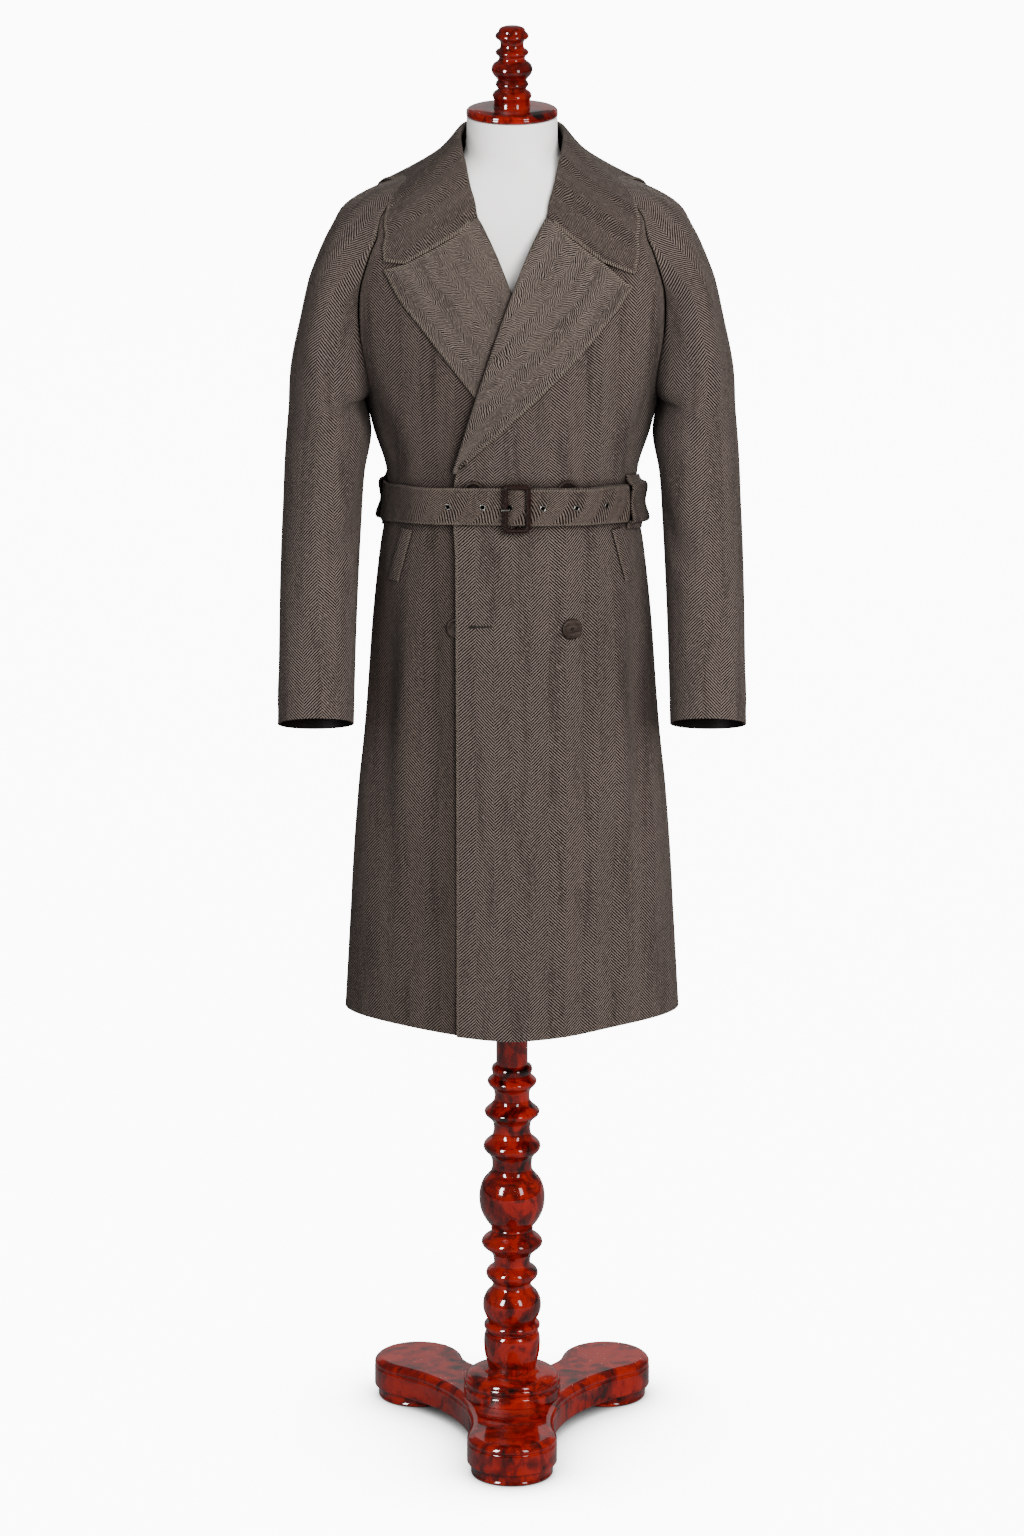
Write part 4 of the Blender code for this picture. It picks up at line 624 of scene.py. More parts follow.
def crowded(count, near=0.004):
    """Shares from 0 to 1 with a few close together at both ends, where a seam's relief needs them."""
    ends = np.array((0.0, 0.2, 0.45, 0.75, 1.1, 1.6)) * near
    return np.concatenate((ends, np.linspace(2.4 * near, 1 - 2.4 * near, count - 11), 1 - ends[::-1]))


raglan_run = walked(body_point(CAP[:, 1], np.radians(CAP[:, 0])))


def raglan_seam(run, behind):
    """Angle and height of the raglan seam at distances along it, from the middle of front or back."""
    columns = (2, 3) if behind else (0, 1)
    return tuple(along(raglan_run, CAP[:, column], run) for column in columns)


def raglan_angle(height, behind):
    """The raglan seam's angle at a height; below the armpit it is the side seam's, a quarter turn."""
    run = np.linspace(raglan_run[-1], 0, 1201)
    angle, level = raglan_seam(run, behind)
    return np.radians(np.interp(height, level, angle, left=90.0))


def seam_frame(run, behind):
    """Points of the raglan seam at distances along it, outward directions, and directions to the sleeve."""
    angle, height = raglan_seam(run, behind)
    angle = np.radians(180 - angle if behind else angle)
    points, normals = body_point(height, angle), body_normal(height, angle)
    ahead = np.gradient(points, axis=0)
    return points, normals, unit(np.cross(ahead, normals) if behind else np.cross(normals, ahead))


def panel_seam(levels, behind):
    """How much of each level is side seam rather than raglan, and the angle where the panel ends."""
    in_seam = smooth((levels - ARMPIT + SEAM_TURN / 2) / SEAM_TURN)
    half = along(BODY[:, 0], BODY[:, 1], levels)
    return in_seam, raglan_angle(levels, behind) - in_seam * SEAM / half


def panel_columns(edge, seam, levels):
    """Angles of a panel's columns: an inner share ends on a line that leans little, the rest on the seam."""
    side = SIDE_LINE[0] + (SIDE_LINE[1] - SIDE_LINE[0]) * smooth((levels - SIDE_LINE_FROM) / SIDE_LINE_OVER)
    line = np.minimum(side, 0.9 * seam)
    first = edge[:, None] + (line - edge)[:, None] * crowded(COLUMNS[0])
    second = line[:, None] + (seam - line)[:, None] * crowded(COLUMNS[1], 0.012)[1:]
    return np.concatenate((first, second), axis=1)


def panel_levels(top):
    """Heights of a panel's rows: close together from the armpit up, and at the hem."""
    return np.concatenate((HEM + np.array((0.0, 0.0008, 0.002, 0.004)), np.linspace(HEM + 0.008, 1.38, 126),
                           np.linspace(1.3835, 1.405, 12), np.linspace(1.409, top, 72)))


def panel_points(levels, angles):
    """Heights of a panel's table of points, with the hem's rise, and the points on the body there."""
    heights = np.repeat(levels[:, None], angles.shape[1], 1)
    fall = smooth((HEM_RISE_FROM - heights) / HEM_RISE_OVER)
    heights = heights + HEM_RISE * np.sin(2 * angles) ** 2 * fall
    return heights, body_point(heights, angles)


def made_plain(piece):
    """The piece with what its modifiers make of it kept as a plain mesh."""
    graph = bpy.context.evaluated_depsgraph_get()
    finished = bpy.data.meshes.new_from_object(piece.evaluated_get(graph), preserve_all_data_layers=True,
                                               depsgraph=graph)
    piece.modifiers.clear()
    piece.data = finished
    return piece


def cloth_shell(name, outer, maps, finish, node, flip=False, right=False, thickness=CLOTH,
                round_by=0.0007, weld=0.0, inside=None):
    """A wall of cloth: the outer table of points, thickened inwards, with softly rounded cut edges.

    The wall is made with Solidify and Bevel, then kept as a plain mesh; its inside is the lining or
    the finish given.  right: the table is for the left side, and the piece is its mirror image.
    """
    faces = grid_quads(*outer.shape[:2])
    if flip != right:
        faces = faces[:, ::-1]
    if right:
        outer = mirrored(outer)
    piece = new_piece(name, outer, faces, finish, (node,), maps=maps, sharp=0, weld=weld)
    piece.data.materials.append(inside or lining)
    wall = piece.modifiers.new("thickness", "SOLIDIFY")
    wall.thickness = thickness
    wall.offset = -1.0
    wall.material_offset = 1
    wall.material_offset_rim = 0
    edge = piece.modifiers.new("soft_edge", "BEVEL")
    edge.width = round_by
    edge.segments = 2
    edge.limit_method = "ANGLE"
    edge.angle_limit = math.radians(60)
    return made_plain(piece)


def wandered(tree, vector, wander, reach):
    """A vector moved about by a noise's colours, times the reach."""
    centred = add_node(tree, "ShaderNodeVectorMath", {0: wander, 1: (0.5, 0.5, 0.5)}, operation="SUBTRACT")
    moves = {0: centred.outputs[0], "Scale": reach}
    scaled = add_node(tree, "ShaderNodeVectorMath", moves, operation="SCALE").outputs[0]
    return add_node(tree, "ShaderNodeVectorMath", {0: vector, 1: scaled}, operation="ADD").outputs[0]


def wave(tree, turns):
    """A wave that goes from a half up to 1, down to 0 and back once in each turn."""
    sine = calc(tree, "SINE", calc(tree, "MULTIPLY", turns, 2 * math.pi))
    return calc(tree, "MULTIPLY_ADD", sine, 0.5, 0.5)


# Herringbone: on cloth laid out in metres, twill lines climb one way in one column and back in the
# next, and step by half a line where columns meet.  Yarns wander, and the nap hides some of them.
herringbone, given, out = new_group(
    "herringbone",
    (("Vector", "vector", None), ("Column", "value", 0.0228), ("Pitch", "value", 0.0031),
     ("Waver", "value", 0.002), ("Swirl", "value", 0.0), ("Contrast", "value", 1.0),
     ("Dark", "colour", None), ("Light", "colour", None)),
    (("Colour", "colour"), ("Height", "value")),
)
tree = herringbone
_, drift = noise(tree, given["Vector"], 22.0, 2.0, 0.5)
_, bend = noise(tree, given["Vector"], 64.0, 2.0, 0.5)
_, jitter = noise(tree, given["Vector"], 420.0, 2.0, 0.6)
moved = given["Vector"]
for wander, reach in ((drift, given["Waver"]), (bend, given["Swirl"]), (jitter, 0.0009)):
    moved = wandered(tree, moved, wander, reach)
u, v, _ = add_node(tree, "ShaderNodeSeparateXYZ", {0: moved}).outputs
column = calc(tree, "FLOOR", calc(tree, "DIVIDE", u, given["Column"]))
odd = calc(tree, "FLOORED_MODULO", column, 2.0)
slant = calc(tree, "PINGPONG", u, given["Column"])
phase = calc(tree, "DIVIDE", calc(tree, "ADD", v, slant), given["Pitch"])
phase = calc(tree, "MULTIPLY_ADD", odd, 0.5, phase)
line = wave(tree, phase)
across = calc(tree, "SUBTRACT", v, slant)
yarn = wave(tree, calc(tree, "DIVIDE", across, calc(tree, "MULTIPLY", given["Pitch"], 0.42)))
patch, _ = noise(tree, stretched(tree, given["Vector"], (1.0, 0.16, 1.0)), 46.0, 3.0, 0.6)
cloud, _ = noise(tree, given["Vector"], 9.0, 3.0, 0.55)
stripe, _ = noise(tree, stretched(tree, given["Vector"], (1.0, 0.05, 1.0)), 48.0, 3.0, 0.6)
fluff, _ = noise(tree, given["Vector"], 1900.0, 2.0, 0.7)
slub, _ = noise(tree, given["Vector"], 210.0, 2.0, 0.6)
speck, _ = noise(tree, stretched(tree, given["Vector"], (1.0, 0.45, 1.0), (0.0, 0.0, 0.7)), 330.0, 1.0, 0.5)
strength = calc(tree, "MULTIPLY", given["Contrast"], eased(tree, patch, 0.34, 0.56, 0.6, 1.2))
shaped = eased(tree, line, 0.18, 0.82)
shade = calc(tree, "MULTIPLY_ADD", calc(tree, "SUBTRACT", shaped, 0.5), strength, 0.33)
amount = calc(tree, "MULTIPLY", shaped, 0.16)
shade = calc(tree, "MULTIPLY_ADD", calc(tree, "SUBTRACT", yarn, 0.5), amount, shade)
# Alternate columns (odd) are a little lighter and darker: painted sheen, as each column's twill takes the
# light its own way.
for part, amount in ((fluff, 0.55), (odd, 0.07), (cloud, 0.14), (stripe, 0.46), (patch, 0.06),
                     (slub, 0.45)):
    shade = calc(tree, "MULTIPLY_ADD", calc(tree, "SUBTRACT", part, 0.5), amount, shade)
fleck = calc(tree, "MULTIPLY", eased(tree, speck, 0.58, 0.68), eased(tree, line, 0.2, 0.7, 0.3, 1.0))
shade = calc(tree, "MULTIPLY_ADD", fleck, 0.5, shade)
tree.links.new(blend_colour(tree, shade, given["Dark"], given["Light"]), out["Colour"])
relief = calc(tree, "MULTIPLY_ADD", shaped, strength, calc(tree, "MULTIPLY", fluff, 0.8))
tree.links.new(calc(tree, "MULTIPLY_ADD", yarn, 0.25, relief), out["Height"])

# Whipped edge: where cloth is sewn at its edge, short stitches cross it with a painted highlight, and the
# cloth dips between them with painted shade.  The map holds the distance from the edge and the way along it,
# in metres.
whipped, given, out = new_group(
    "whipped_edge",
    (("Vector", "vector", None), ("Reach", "value", 0.0035), ("Pitch", "value", 0.0032),
     ("Lean", "value", 0.8), ("Strength", "value", 1.0)),
    (("Stitch", "value"), ("Shadow", "value")),
)
tree = whipped
_, jitter = noise(tree, given["Vector"], 260.0, 2.0, 0.6)
moved = wandered(tree, given["Vector"], jitter, 0.0018)
off, way, _ = add_node(tree, "ShaderNodeSeparateXYZ", {0: moved}).outputs
stroke = wave(tree, calc(tree, "DIVIDE", calc(tree, "MULTIPLY_ADD", off, given["Lean"], way), given["Pitch"]))
near = calc(tree, "SUBTRACT", 1.0, eased(tree, calc(tree, "DIVIDE", off, given["Reach"]), 0.55, 1.15))
between = calc(tree, "SUBTRACT", 1.0, eased(tree, stroke, 0.1, 0.55))
for mask, socket in ((eased(tree, stroke, 0.35, 0.8), "Stitch"), (between, "Shadow")):
    tree.links.new(calc(tree, "MULTIPLY", calc(tree, "MULTIPLY", mask, near), given["Strength"]), out[socket])


def open_to_room(tree, distance, samples=6):
    """How open the surface is to the room within a distance: 1 in the open, less in a hollow."""
    node = add_node(tree, "ShaderNodeAmbientOcclusion", {"Distance": distance}, samples=samples)
    return node.outputs["AO"]


def uv_map(tree, name):
    """A UV map's vector."""
    return add_node(tree, "ShaderNodeUVMap", uv_map=name).outputs[0]


# Painted shade: the colour the wool is darkened to in a hollow and beside another layer's edge, where shade
# falls.
PAINTED_SHADE = "0b0402"


def wool_finish(name, dark, light, column=0.0228, pitch=0.0043, waver=0.002, swirl=0.0, contrast=1.0,
                edge=0.8, reach=0.0035, shade_in_hollows=(0.20, 0.90), covered=False):
    """Herringbone wool on the Cloth map, with whipped stitches by the Edge map; matt, with a soft nap.

    Painted shade darkens it in a hollow and, where another layer lies on it, a painted shadow darkens it
    beside that layer's edge by the Cover map.
    """
    made, tree, shader = new_material(name, Sheen_Weight=0.03, Sheen_Roughness=0.55, Specular_IOR_Level=0.10,
                                      Sheen_Tint=(0.80, 0.74, 0.70, 1.0))
    inputs = {"Vector": uv_map(tree, "Cloth"), "Column": column, "Pitch": pitch, "Waver": waver,
              "Swirl": swirl, "Contrast": contrast, "Dark": chip(dark), "Light": chip(light)}
    weave = add_node(tree, "ShaderNodeGroup", inputs, node_tree=herringbone).outputs
    inputs = {"Vector": uv_map(tree, "Edge"), "Strength": edge, "Reach": reach}
    stitches = add_node(tree, "ShaderNodeGroup", inputs, node_tree=whipped).outputs
    # Painted shade between the whipped stitches, and a painted highlight on the stitches.
    shadow = calc(tree, "MULTIPLY", stitches["Shadow"], 0.75)
    colour = blend_colour(tree, shadow, weave["Colour"], chip("070504"))
    stitch_highlight = calc(tree, "MULTIPLY", stitches["Stitch"], 0.8)
    colour = blend_colour(tree, stitch_highlight, colour, chip("70655b"))
    # Painted shade in a hollow, by how open the surface is to the room.
    colour = blend_colour(tree, eased(tree, open_to_room(tree, 0.03), *shade_in_hollows), chip(PAINTED_SHADE), colour)
    # Painted shadow beside the edge of the layer that lies on it.
    if covered:
        beyond = add_node(tree, "ShaderNodeSeparateXYZ", {0: uv_map(tree, "Cover")}).outputs[0]
        colour = blend_colour(tree, eased(tree, beyond, -0.004, 0.045, 0.34, 0.0), colour, chip(PAINTED_SHADE))
    height = calc(tree, "MULTIPLY_ADD", stitches["Stitch"], 1.6, weave["Height"])
    feed(tree, shader, Base_Color=colour, Roughness=eased(tree, weave["Height"], 0.0, 1.6, 0.98, 0.86),
         Normal=bumped(tree, height, 0.75, 0.0006))
    return made


wool = wool_finish("herringbone_wool", "080403", "5f544e", pitch=0.0041, contrast=1.2)
# A darker copy of the wool for the under front: painted shade, with a painted shadow beside the top front's
# edge by the Cover map.
shaded_under_wool = wool_finish("shaded_under_wool", "070302", "574c46", pitch=0.0041, contrast=1.2,
                         shade_in_hollows=(0.05, 0.85), covered=True)

lining, tree, shader = new_material("satin_lining", Specular_IOR_Level=0.12)
_, grains = grained(tree, 0.0008, 0.05)
feed(tree, shader,
     Base_Color=ramp(tree, grains["Cloud"], (0.3, chip("0b0807")), (0.7, chip("110d0b"))),
     Roughness=eased(tree, grains["Fine"], 0.2, 0.8, 0.50, 0.62),
     Normal=bumped(tree, grains["Height"], 0.2, 0.0004))


def cloth_maps(points, start_u, edges):
    """Cloth map from the distance walked across and up, and Edge map from the distance to the edges."""
    across = walked(points, axis=1) + np.asarray(start_u)[:, None]
    up = walked(points, axis=0)
    return {"Cloth": np.stack((across, up), -1), "Edge": np.stack((edges, up), -1)}


def make_front(name, node, on_top):
    """A front: body_point at a table of heights and angles, lifted over the under front, with its folds.

    The folds fade under the lapel and at the seam; the open edge rolls out a little.
    """
    levels = panel_levels(CAP[0, 1])
    edge_x = along(FRONT_EDGE[:, 0], FRONT_EDGE[:, 1], levels)
    in_seam, seam = panel_seam(levels, False)
    angles = panel_columns(angle_at(edge_x, levels), seam, levels)
    heights, flat = panel_points(levels, angles)
    from_edge = walked(flat, axis=1)
    from_seam = from_edge[:, -1:] - from_edge
    lift = front_step(flat[..., 0], heights, on_top)
    lapel = smooth((heights - 1.30) / 0.03) * (1 - smooth((from_edge - 0.11) / 0.05))
    lift = lift + folds(flat[..., 0], heights, FRONT_FOLDS) * (1 - lapel) * smooth(from_seam / 0.02)
    lift = lift + in_seam[:, None] * seam_relief(from_seam)
    lift = lift + 0.0007 * np.exp(-(((from_edge - 0.004) / 0.004) ** 2)) * (1 - in_seam[:, None])
    outer = lifted(heights, angles, lift)
    nearest = np.minimum(from_edge + in_seam[:, None] * 0.02, from_seam + (1 - in_seam[:, None]) * 0.02)
    maps = cloth_maps(outer, edge_x - 0.0031, nearest)
    if on_top:
        return cloth_shell(name, outer, maps, wool, node)
    # The Cover map: distance beyond the top front's edge, where the under front gets a painted shadow.
    beyond = flat[..., 0] + along(FRONT_EDGE[:, 0], FRONT_EDGE[:, 1], heights)
    maps["Cover"] = np.stack((beyond, heights), -1)
    return cloth_shell(name, outer, maps, shaded_under_wool, node, right=True)


def make_back(name, node):
    """The back: the same table from side seam to side seam, with its own folds."""
    levels = panel_levels(CAP[0, 3])
    in_seam, seam = panel_seam(levels, True)
    columns = panel_columns(np.zeros(len(levels)), seam, levels)
    angles = np.pi + np.concatenate((-columns[:, :0:-1], columns), axis=1)
    heights, flat = panel_points(levels, angles)
    reach = walked(flat, axis=1)
    from_seam = np.minimum(reach, reach[:, -1:] - reach)
    middle = np.abs(reach - reach[:, -1:] / 2)
    lift = folds(flat[..., 0], heights, BACK_FOLDS) * smooth(from_seam / 0.02)
    lift = lift + in_seam[:, None] * seam_relief(from_seam) + 0.5 * seam_relief(middle)
    outer = lifted(heights, angles, lift)
    nearest = np.minimum(from_seam + (1 - in_seam[:, None]) * 0.02, middle + 0.0012)
    maps = cloth_maps(outer, -reach[:, -1] / 2, nearest)
    return cloth_shell(name, outer, maps, wool, node)


make_front("coat_front_left", "front_left", True)
make_front("coat_front_right", "front_right", False)
make_back("coat_back", "back")

# ------------------------------------------------------------------ raglan sleeves
# Each sleeve is cut in one with its shoulder and set in by a lapped seam from neck to armpit, then
# closes to a tube that hangs a little forward, with a plain cuff.  Same wool and lining.

# How the level curve leaves the front seam (x, y) and the back seam (x, y), and its swell at the
# sleeve's top towards the front and the back, for the stations from the neck to the armpit.
CAP_SWELL = np.array((
    (0.010, 0.010, 0.010, -0.010, 0.010, 0.010), (0.015, 0.012, 0.015, -0.012, 0.018, 0.018),
    (0.022, 0.010, 0.022, -0.010, 0.030, 0.028), (0.030, 0.006, 0.030, -0.004, 0.045, 0.040),
    (0.034, -0.004, 0.034, 0.002, 0.075, 0.066), (0.030, -0.018, 0.030, 0.014, 0.098, 0.086),
    (0.022, -0.031, 0.022, 0.030, 0.110, 0.096), (0.012, -0.041, 0.012, 0.045, 0.116, 0.102),
    (0.006, -0.057, 0.006, 0.054, 0.119, 0.105), (0.002, -0.083, 0.002, 0.075, 0.122, 0.105),
    (0.000, -0.124, 0.000, 0.105, 0.124, 0.105),
))
# The sleeve below the armpit: inner x, y, z, outer x, y, z, half depth, tilt in degrees.
TUBE = np.array((
    (0.1762, -0.012, 1.352, 0.2817, -0.020, 1.349, 0.083, 3),
    (0.1845, -0.030, 1.300, 0.2860, -0.034, 1.297, 0.078, 6),
    (0.1890, -0.049, 1.235, 0.2895, -0.051, 1.232, 0.071, 10),
    (0.1927, -0.070, 1.165, 0.2915, -0.072, 1.162, 0.066, 14),
    (0.1955, -0.094, 1.095, 0.2925, -0.096, 1.093, 0.061, 18),
    (0.1970, -0.112, 1.045, 0.2933, -0.113, 1.044, 0.058, 21),
    (0.1980, -0.128, 0.999, 0.2940, -0.128, 0.998, 0.056, 23),
))
# Soft folds of a sleeve: share round it (0 front of the inner line, 0.5 outside, 1 back of the inner
# line) and height of each end, half width, how far it stands out (or in).
SLEEVE_FOLDS = (
    (0.10, 1.330, 0.24, 1.230, 0.020, 0.0030), (0.05, 1.280, 0.20, 1.185, 0.016, -0.0032),
    (0.08, 1.215, 0.24, 1.150, 0.014, 0.0024), (0.12, 1.380, 0.20, 1.460, 0.020, -0.0034),
    (0.16, 1.400, 0.28, 1.500, 0.018, 0.0026), (0.26, 1.170, 0.30, 1.030, 0.016, -0.0016),
    (0.44, 1.500, 0.46, 1.260, 0.030, 0.0022), (0.36, 1.480, 0.38, 1.120, 0.026, -0.0024),
    (0.86, 1.260, 0.70, 1.140, 0.020, 0.0034), (0.90, 1.200, 0.74, 1.090, 0.018, -0.0034),
    (0.84, 1.400, 0.70, 1.500, 0.022, 0.0030), (0.92, 1.360, 0.80, 1.440, 0.018, -0.0028),
    (0.64, 1.420, 0.62, 1.180, 0.028, -0.0020), (0.56, 1.060, 0.54, 1.010, 0.018, 0.0014),
)
SLEEVE_SHARES = 37
# How far a sleeve's cut edge turns from beside the panel's to above it, in degrees, at each station.
SEAM_LEAN = (0.0, 0.0, 0.0, 0.0, 0.0, 0.0, 15.0, 45.0, 90.0, 140.0, 180.0)


def bezier(p0, p1, p2, p3, t):
    """Cubic Bezier curves, one per row of end and handle points, at the values t."""
    t = t[None, :, None]
    p0, p1, p2, p3 = (np.asarray(p)[:, None, :] for p in (p0, p1, p2, p3))
    return (1 - t) ** 3 * p0 + 3 * (1 - t) ** 2 * t * p1 + 3 * (1 - t) * t * t * p2 + t ** 3 * p3


def sleeve_table():
    """Handle points of each station's level curve: front seam to top, and back seam to top, 8 in all."""
    top = CAP[:, 4:7]
    front = body_point(CAP[:, 1], np.radians(CAP[:, 0]))
    back = body_point(CAP[:, 3], np.radians(180 - CAP[:, 2]))
    flat = np.zeros(len(CAP))
    handles = [front, front + np.stack((CAP_SWELL[:, 0], CAP_SWELL[:, 1], flat), -1),
               top - np.stack((flat, CAP_SWELL[:, 4], flat), -1), top,
               back, back + np.stack((CAP_SWELL[:, 2], CAP_SWELL[:, 3], flat), -1),
               top + np.stack((flat, CAP_SWELL[:, 5], flat), -1), top]
    inner, outside = TUBE[:, 0:3], TUBE[:, 3:6]
    tilt, reach = np.radians(TUBE[:, 7]), TUBE[:, 6] * 4 / 3
    swell = np.stack((np.zeros(len(TUBE)), -reach * np.cos(tilt), reach * np.sin(tilt)), -1)
    tube = [inner, inner + swell, outside + swell, outside, inner, inner - swell, outside - swell, outside]
    return np.concatenate((np.stack(handles, 1), np.stack(tube, 1)))


# Across the stay tape, from under the panel to under the sleeve.
TAPE = (-0.007, -0.003, 0.001, 0.005)


def make_sleeve(name, node, right):
    """A sleeve: level curves, which are Beziers between smoothly guided handles, joined front to back.

    Near the neck the curve gives way to the body's own surface; below the armpit it closes to a ring.
    """
    handles = sleeve_table()
    run = np.concatenate((raglan_run, raglan_run[-1] + walked(handles[len(CAP) - 1:, 3])[1:]))
    stations = np.concatenate((crowded(60, 0.003) * raglan_run[-1],
                               np.linspace(raglan_run[-1], run[-1], 92)[1:-3],
                               run[-1] - np.array((0.004, 0.002, 0.0008, 0.0))))
    guided = along(run, handles.reshape(len(run), -1), stations).reshape(-1, 8, 3)
    shares = crowded(SLEEVE_SHARES, 0.010)[:-5]
    shares = shares / shares[-1]
    shaped = np.concatenate((bezier(*guided[:, :4].swapaxes(0, 1), shares)[:, :-1],
                             bezier(*guided[:, 4:].swapaxes(0, 1), shares)[:, ::-1]), axis=1)
    cap = stations <= raglan_run[-1] + 1e-9
    at = stations[cap]
    own = np.clip(along(raglan_run, CAP[:, 7], at), 0, 1)[:, None, None]
    crest = guided[cap, 3, 2][:, None]
    body = []
    for behind in (False, True):
        angle, height = raglan_seam(at, behind)
        around = np.radians(angle[:, None] + (90 - angle[:, None]) * shares)
        rise = height[:, None] + (crest - height[:, None]) * np.sin(shares * np.pi / 2)
        body.append(body_point(rise, np.pi - around if behind else around))
    body = np.concatenate((body[0][:, :-1], body[1][:, ::-1]), axis=1)
    outer = shaped
    outer[cap] = body + (shaped[cap] - body) * own

    across = np.gradient(outer, axis=1)
    across[~cap, 0] = across[~cap, -1] = outer[~cap, 1] - outer[~cap, -2]
    direction = unit(np.cross(np.gradient(outer, axis=0), across))
    direction *= np.sign(direction[len(outer) // 2, outer.shape[1] // 2, 0])

    # The seams' edges lie a hair off the panels' edges, in the same curve.
    lean = np.radians(along(raglan_run, np.array(SEAM_LEAN), at))[:, None]
    for column, behind in ((0, False), (-1, True)):
        points, normals, into = seam_frame(at, behind)
        outer[cap, column] = points + SEAM * (into * np.cos(lean / 2) + normals * np.sin(lean / 2))

    reach = walked(outer, axis=1)
    from_seam = np.minimum(reach, reach[:, -1:] - reach)
    in_cap = smooth((raglan_run[-1] - stations) / 0.03)[:, None]
    share = reach / reach[:, -1:]
    wide = reach[:, -1:].mean()
    table = np.array(SLEEVE_FOLDS) * (wide, 1, wide, 1, 1, 1)
    lift = folds(share * wide, outer[..., 2], table) * smooth(from_seam / 0.02)
    lift = lift + in_cap * (seam_relief(from_seam) + 0.0012 * np.exp(-(((from_seam - 0.005) / 0.0035) ** 2)))
    lift[~cap, -1] = lift[~cap, 0]
    outer = outer + direction * lift[..., None]
    nearest = from_seam + (1 - in_cap) * 0.02
    down = walked(outer[:, outer.shape[1] // 2])[:, None] + 0 * reach
    maps = {"Cloth": np.stack((reach - reach[:, -1:] / 2, -down), -1), "Edge": np.stack((nearest, down), -1)}
    return cloth_shell(name, outer, maps, wool, node, flip=True, right=right, weld=2e-6)


def make_tape(name):
    """Stay tape behind both raglan seams: a narrow strip under the panels' and the sleeve's edges."""
    run = np.linspace(0, raglan_run[-1], 90)
    parts = []
    for behind in (False, True):
        points, normals, into = seam_frame(run, behind)
        across = np.array(TAPE)[None, :, None]
        parts.append((points - normals * (CLOTH + 0.0005))[:, None] + into[:, None] * across)
    half = np.concatenate((parts[0], parts[1][-2::-1]))
    faces = grid_quads(*half.shape[:2])
    faces = np.concatenate((faces, faces[:, ::-1] + half.shape[0] * half.shape[1]))
    both = np.concatenate((half, mirrored(half)))
    return new_piece(name, both, faces, lining, (), sharp=0)


for name, node, right in (("coat_sleeve_left", "sleeve_left", False),
                          ("coat_sleeve_right", "sleeve_right", True)):
    make_sleeve(name, node, right)
make_tape("coat_armhole_tape")

# ------------------------------------------------------------------ lapels
# Each front's facing turned back along the roll line, lying on the front with a soft roll.  The same
# wool faces it, its columns running with the lapel's edge, which is whipped all along.

LAPEL_GAP = 0.002
# The lapels' outer edges, from the point to where the lapel ends: part of the way, x, height.
LAPEL_LEFT_EDGE = np.array((
    (0.00, 0.1466, 1.5529), (0.13, 0.1275, 1.5248), (0.30, 0.0961, 1.4891), (0.46, 0.0644, 1.4552),
    (0.68, 0.0171, 1.4071), (0.84, -0.0208, 1.3709), (1.00, -0.0560, 1.3370),
))
LAPEL_RIGHT_EDGE = np.array((
    (0.00, 0.1568, 1.5726), (0.20, 0.1378, 1.5387), (0.50, 0.1029, 1.4943), (0.76, 0.0714, 1.4539),
    (1.00, 0.0340, 1.4060),
))
GORGE = 1.6336
# The seam between lapel and collar, out to the notch: part of the lapel's width, x, height.
GORGE_LEFT = np.array(((0.0, 0.0458, GORGE), (0.19, 0.0656, 1.6176), (0.64, 0.1114, 1.5838)))
GORGE_RIGHT = np.array(((0.0, 0.0458, GORGE), (0.20, 0.0680, 1.6160), (0.77, 0.1312, 1.5810)))
LAPEL_LEFT_END = 1.322
LAPEL_RIGHT_END = 1.515


def turned_cloth(start, into_opening, normal, rise, fall):
    """A layer that leaves an edge, turns over in a half circle and lies back, for each station.

    start: middle of the cut edge; rise: from there to the foot of the turn; fall: points after it.
    """
    radius = (LAPEL_GAP + CLOTH) / 2
    foot = start + rise
    centre = foot + normal * radius
    stand = [start, start + rise * 0.33, start + rise * 0.66] if np.abs(rise).max() > 0 else [start]
    turn = [centre - normal * radius * math.cos(a) + into_opening * radius * math.sin(a)
            for a in np.linspace(0, math.pi, 10)]
    if np.abs(rise).max() == 0:
        turn = turn[1:]
    return np.concatenate((np.stack(stand + turn, 1), fall), axis=1)


def gorge_line(gorge, point, share):
    """x and height along the seam of lapel and collar, and on from the notch to a point."""
    table = np.concatenate((gorge, ((1.0, *point),)))
    return tuple(np.interp(share, table[:, 0], table[:, k]) for k in (1, 2))


def toward_gorge(into_opening, share, gorge, side=1.0):
    """Turns a fold's inward direction, by a share, to run on along the gorge, so two folds meet."""
    (_, x0, z0), (_, x1, z1) = gorge[:2]
    there = unit(lifted(np.array(z0), angle_at(x0, z0), 0.0) - lifted(np.array(z1), angle_at(x1, z1), 0.0))
    return unit(into_opening + (there * (side, 1.0, 1.0) - into_opening) * share[:, None])


def sheet_normals(grid):
    """Directions across a sheet of points, from the slopes along its rows and columns."""
    return unit(np.cross(np.gradient(grid, axis=1), np.gradient(grid, axis=0)))


def turned_edges(reach, down, to_edge, to_end):
    """Edge map of a turned layer: the fall's outer edge or, where it is nearer, its end; none at the turn."""
    before = ((0, 0), (reach.shape[1] - to_edge.shape[1], 0))
    nearest = np.pad(np.minimum(to_edge, to_end + 0.0005), before, constant_values=0.05)
    by_end = np.pad(to_end + 0.0005 < to_edge, before)
    return np.stack((nearest, np.where(by_end, reach, down)), -1)


lapel_wool = wool_finish("lapel_wool", "0b0807", "685d56", column=0.0170, pitch=0.0029, waver=0.012,
                         swirl=0.0068, contrast=1.0, edge=1.0, reach=0.0042)


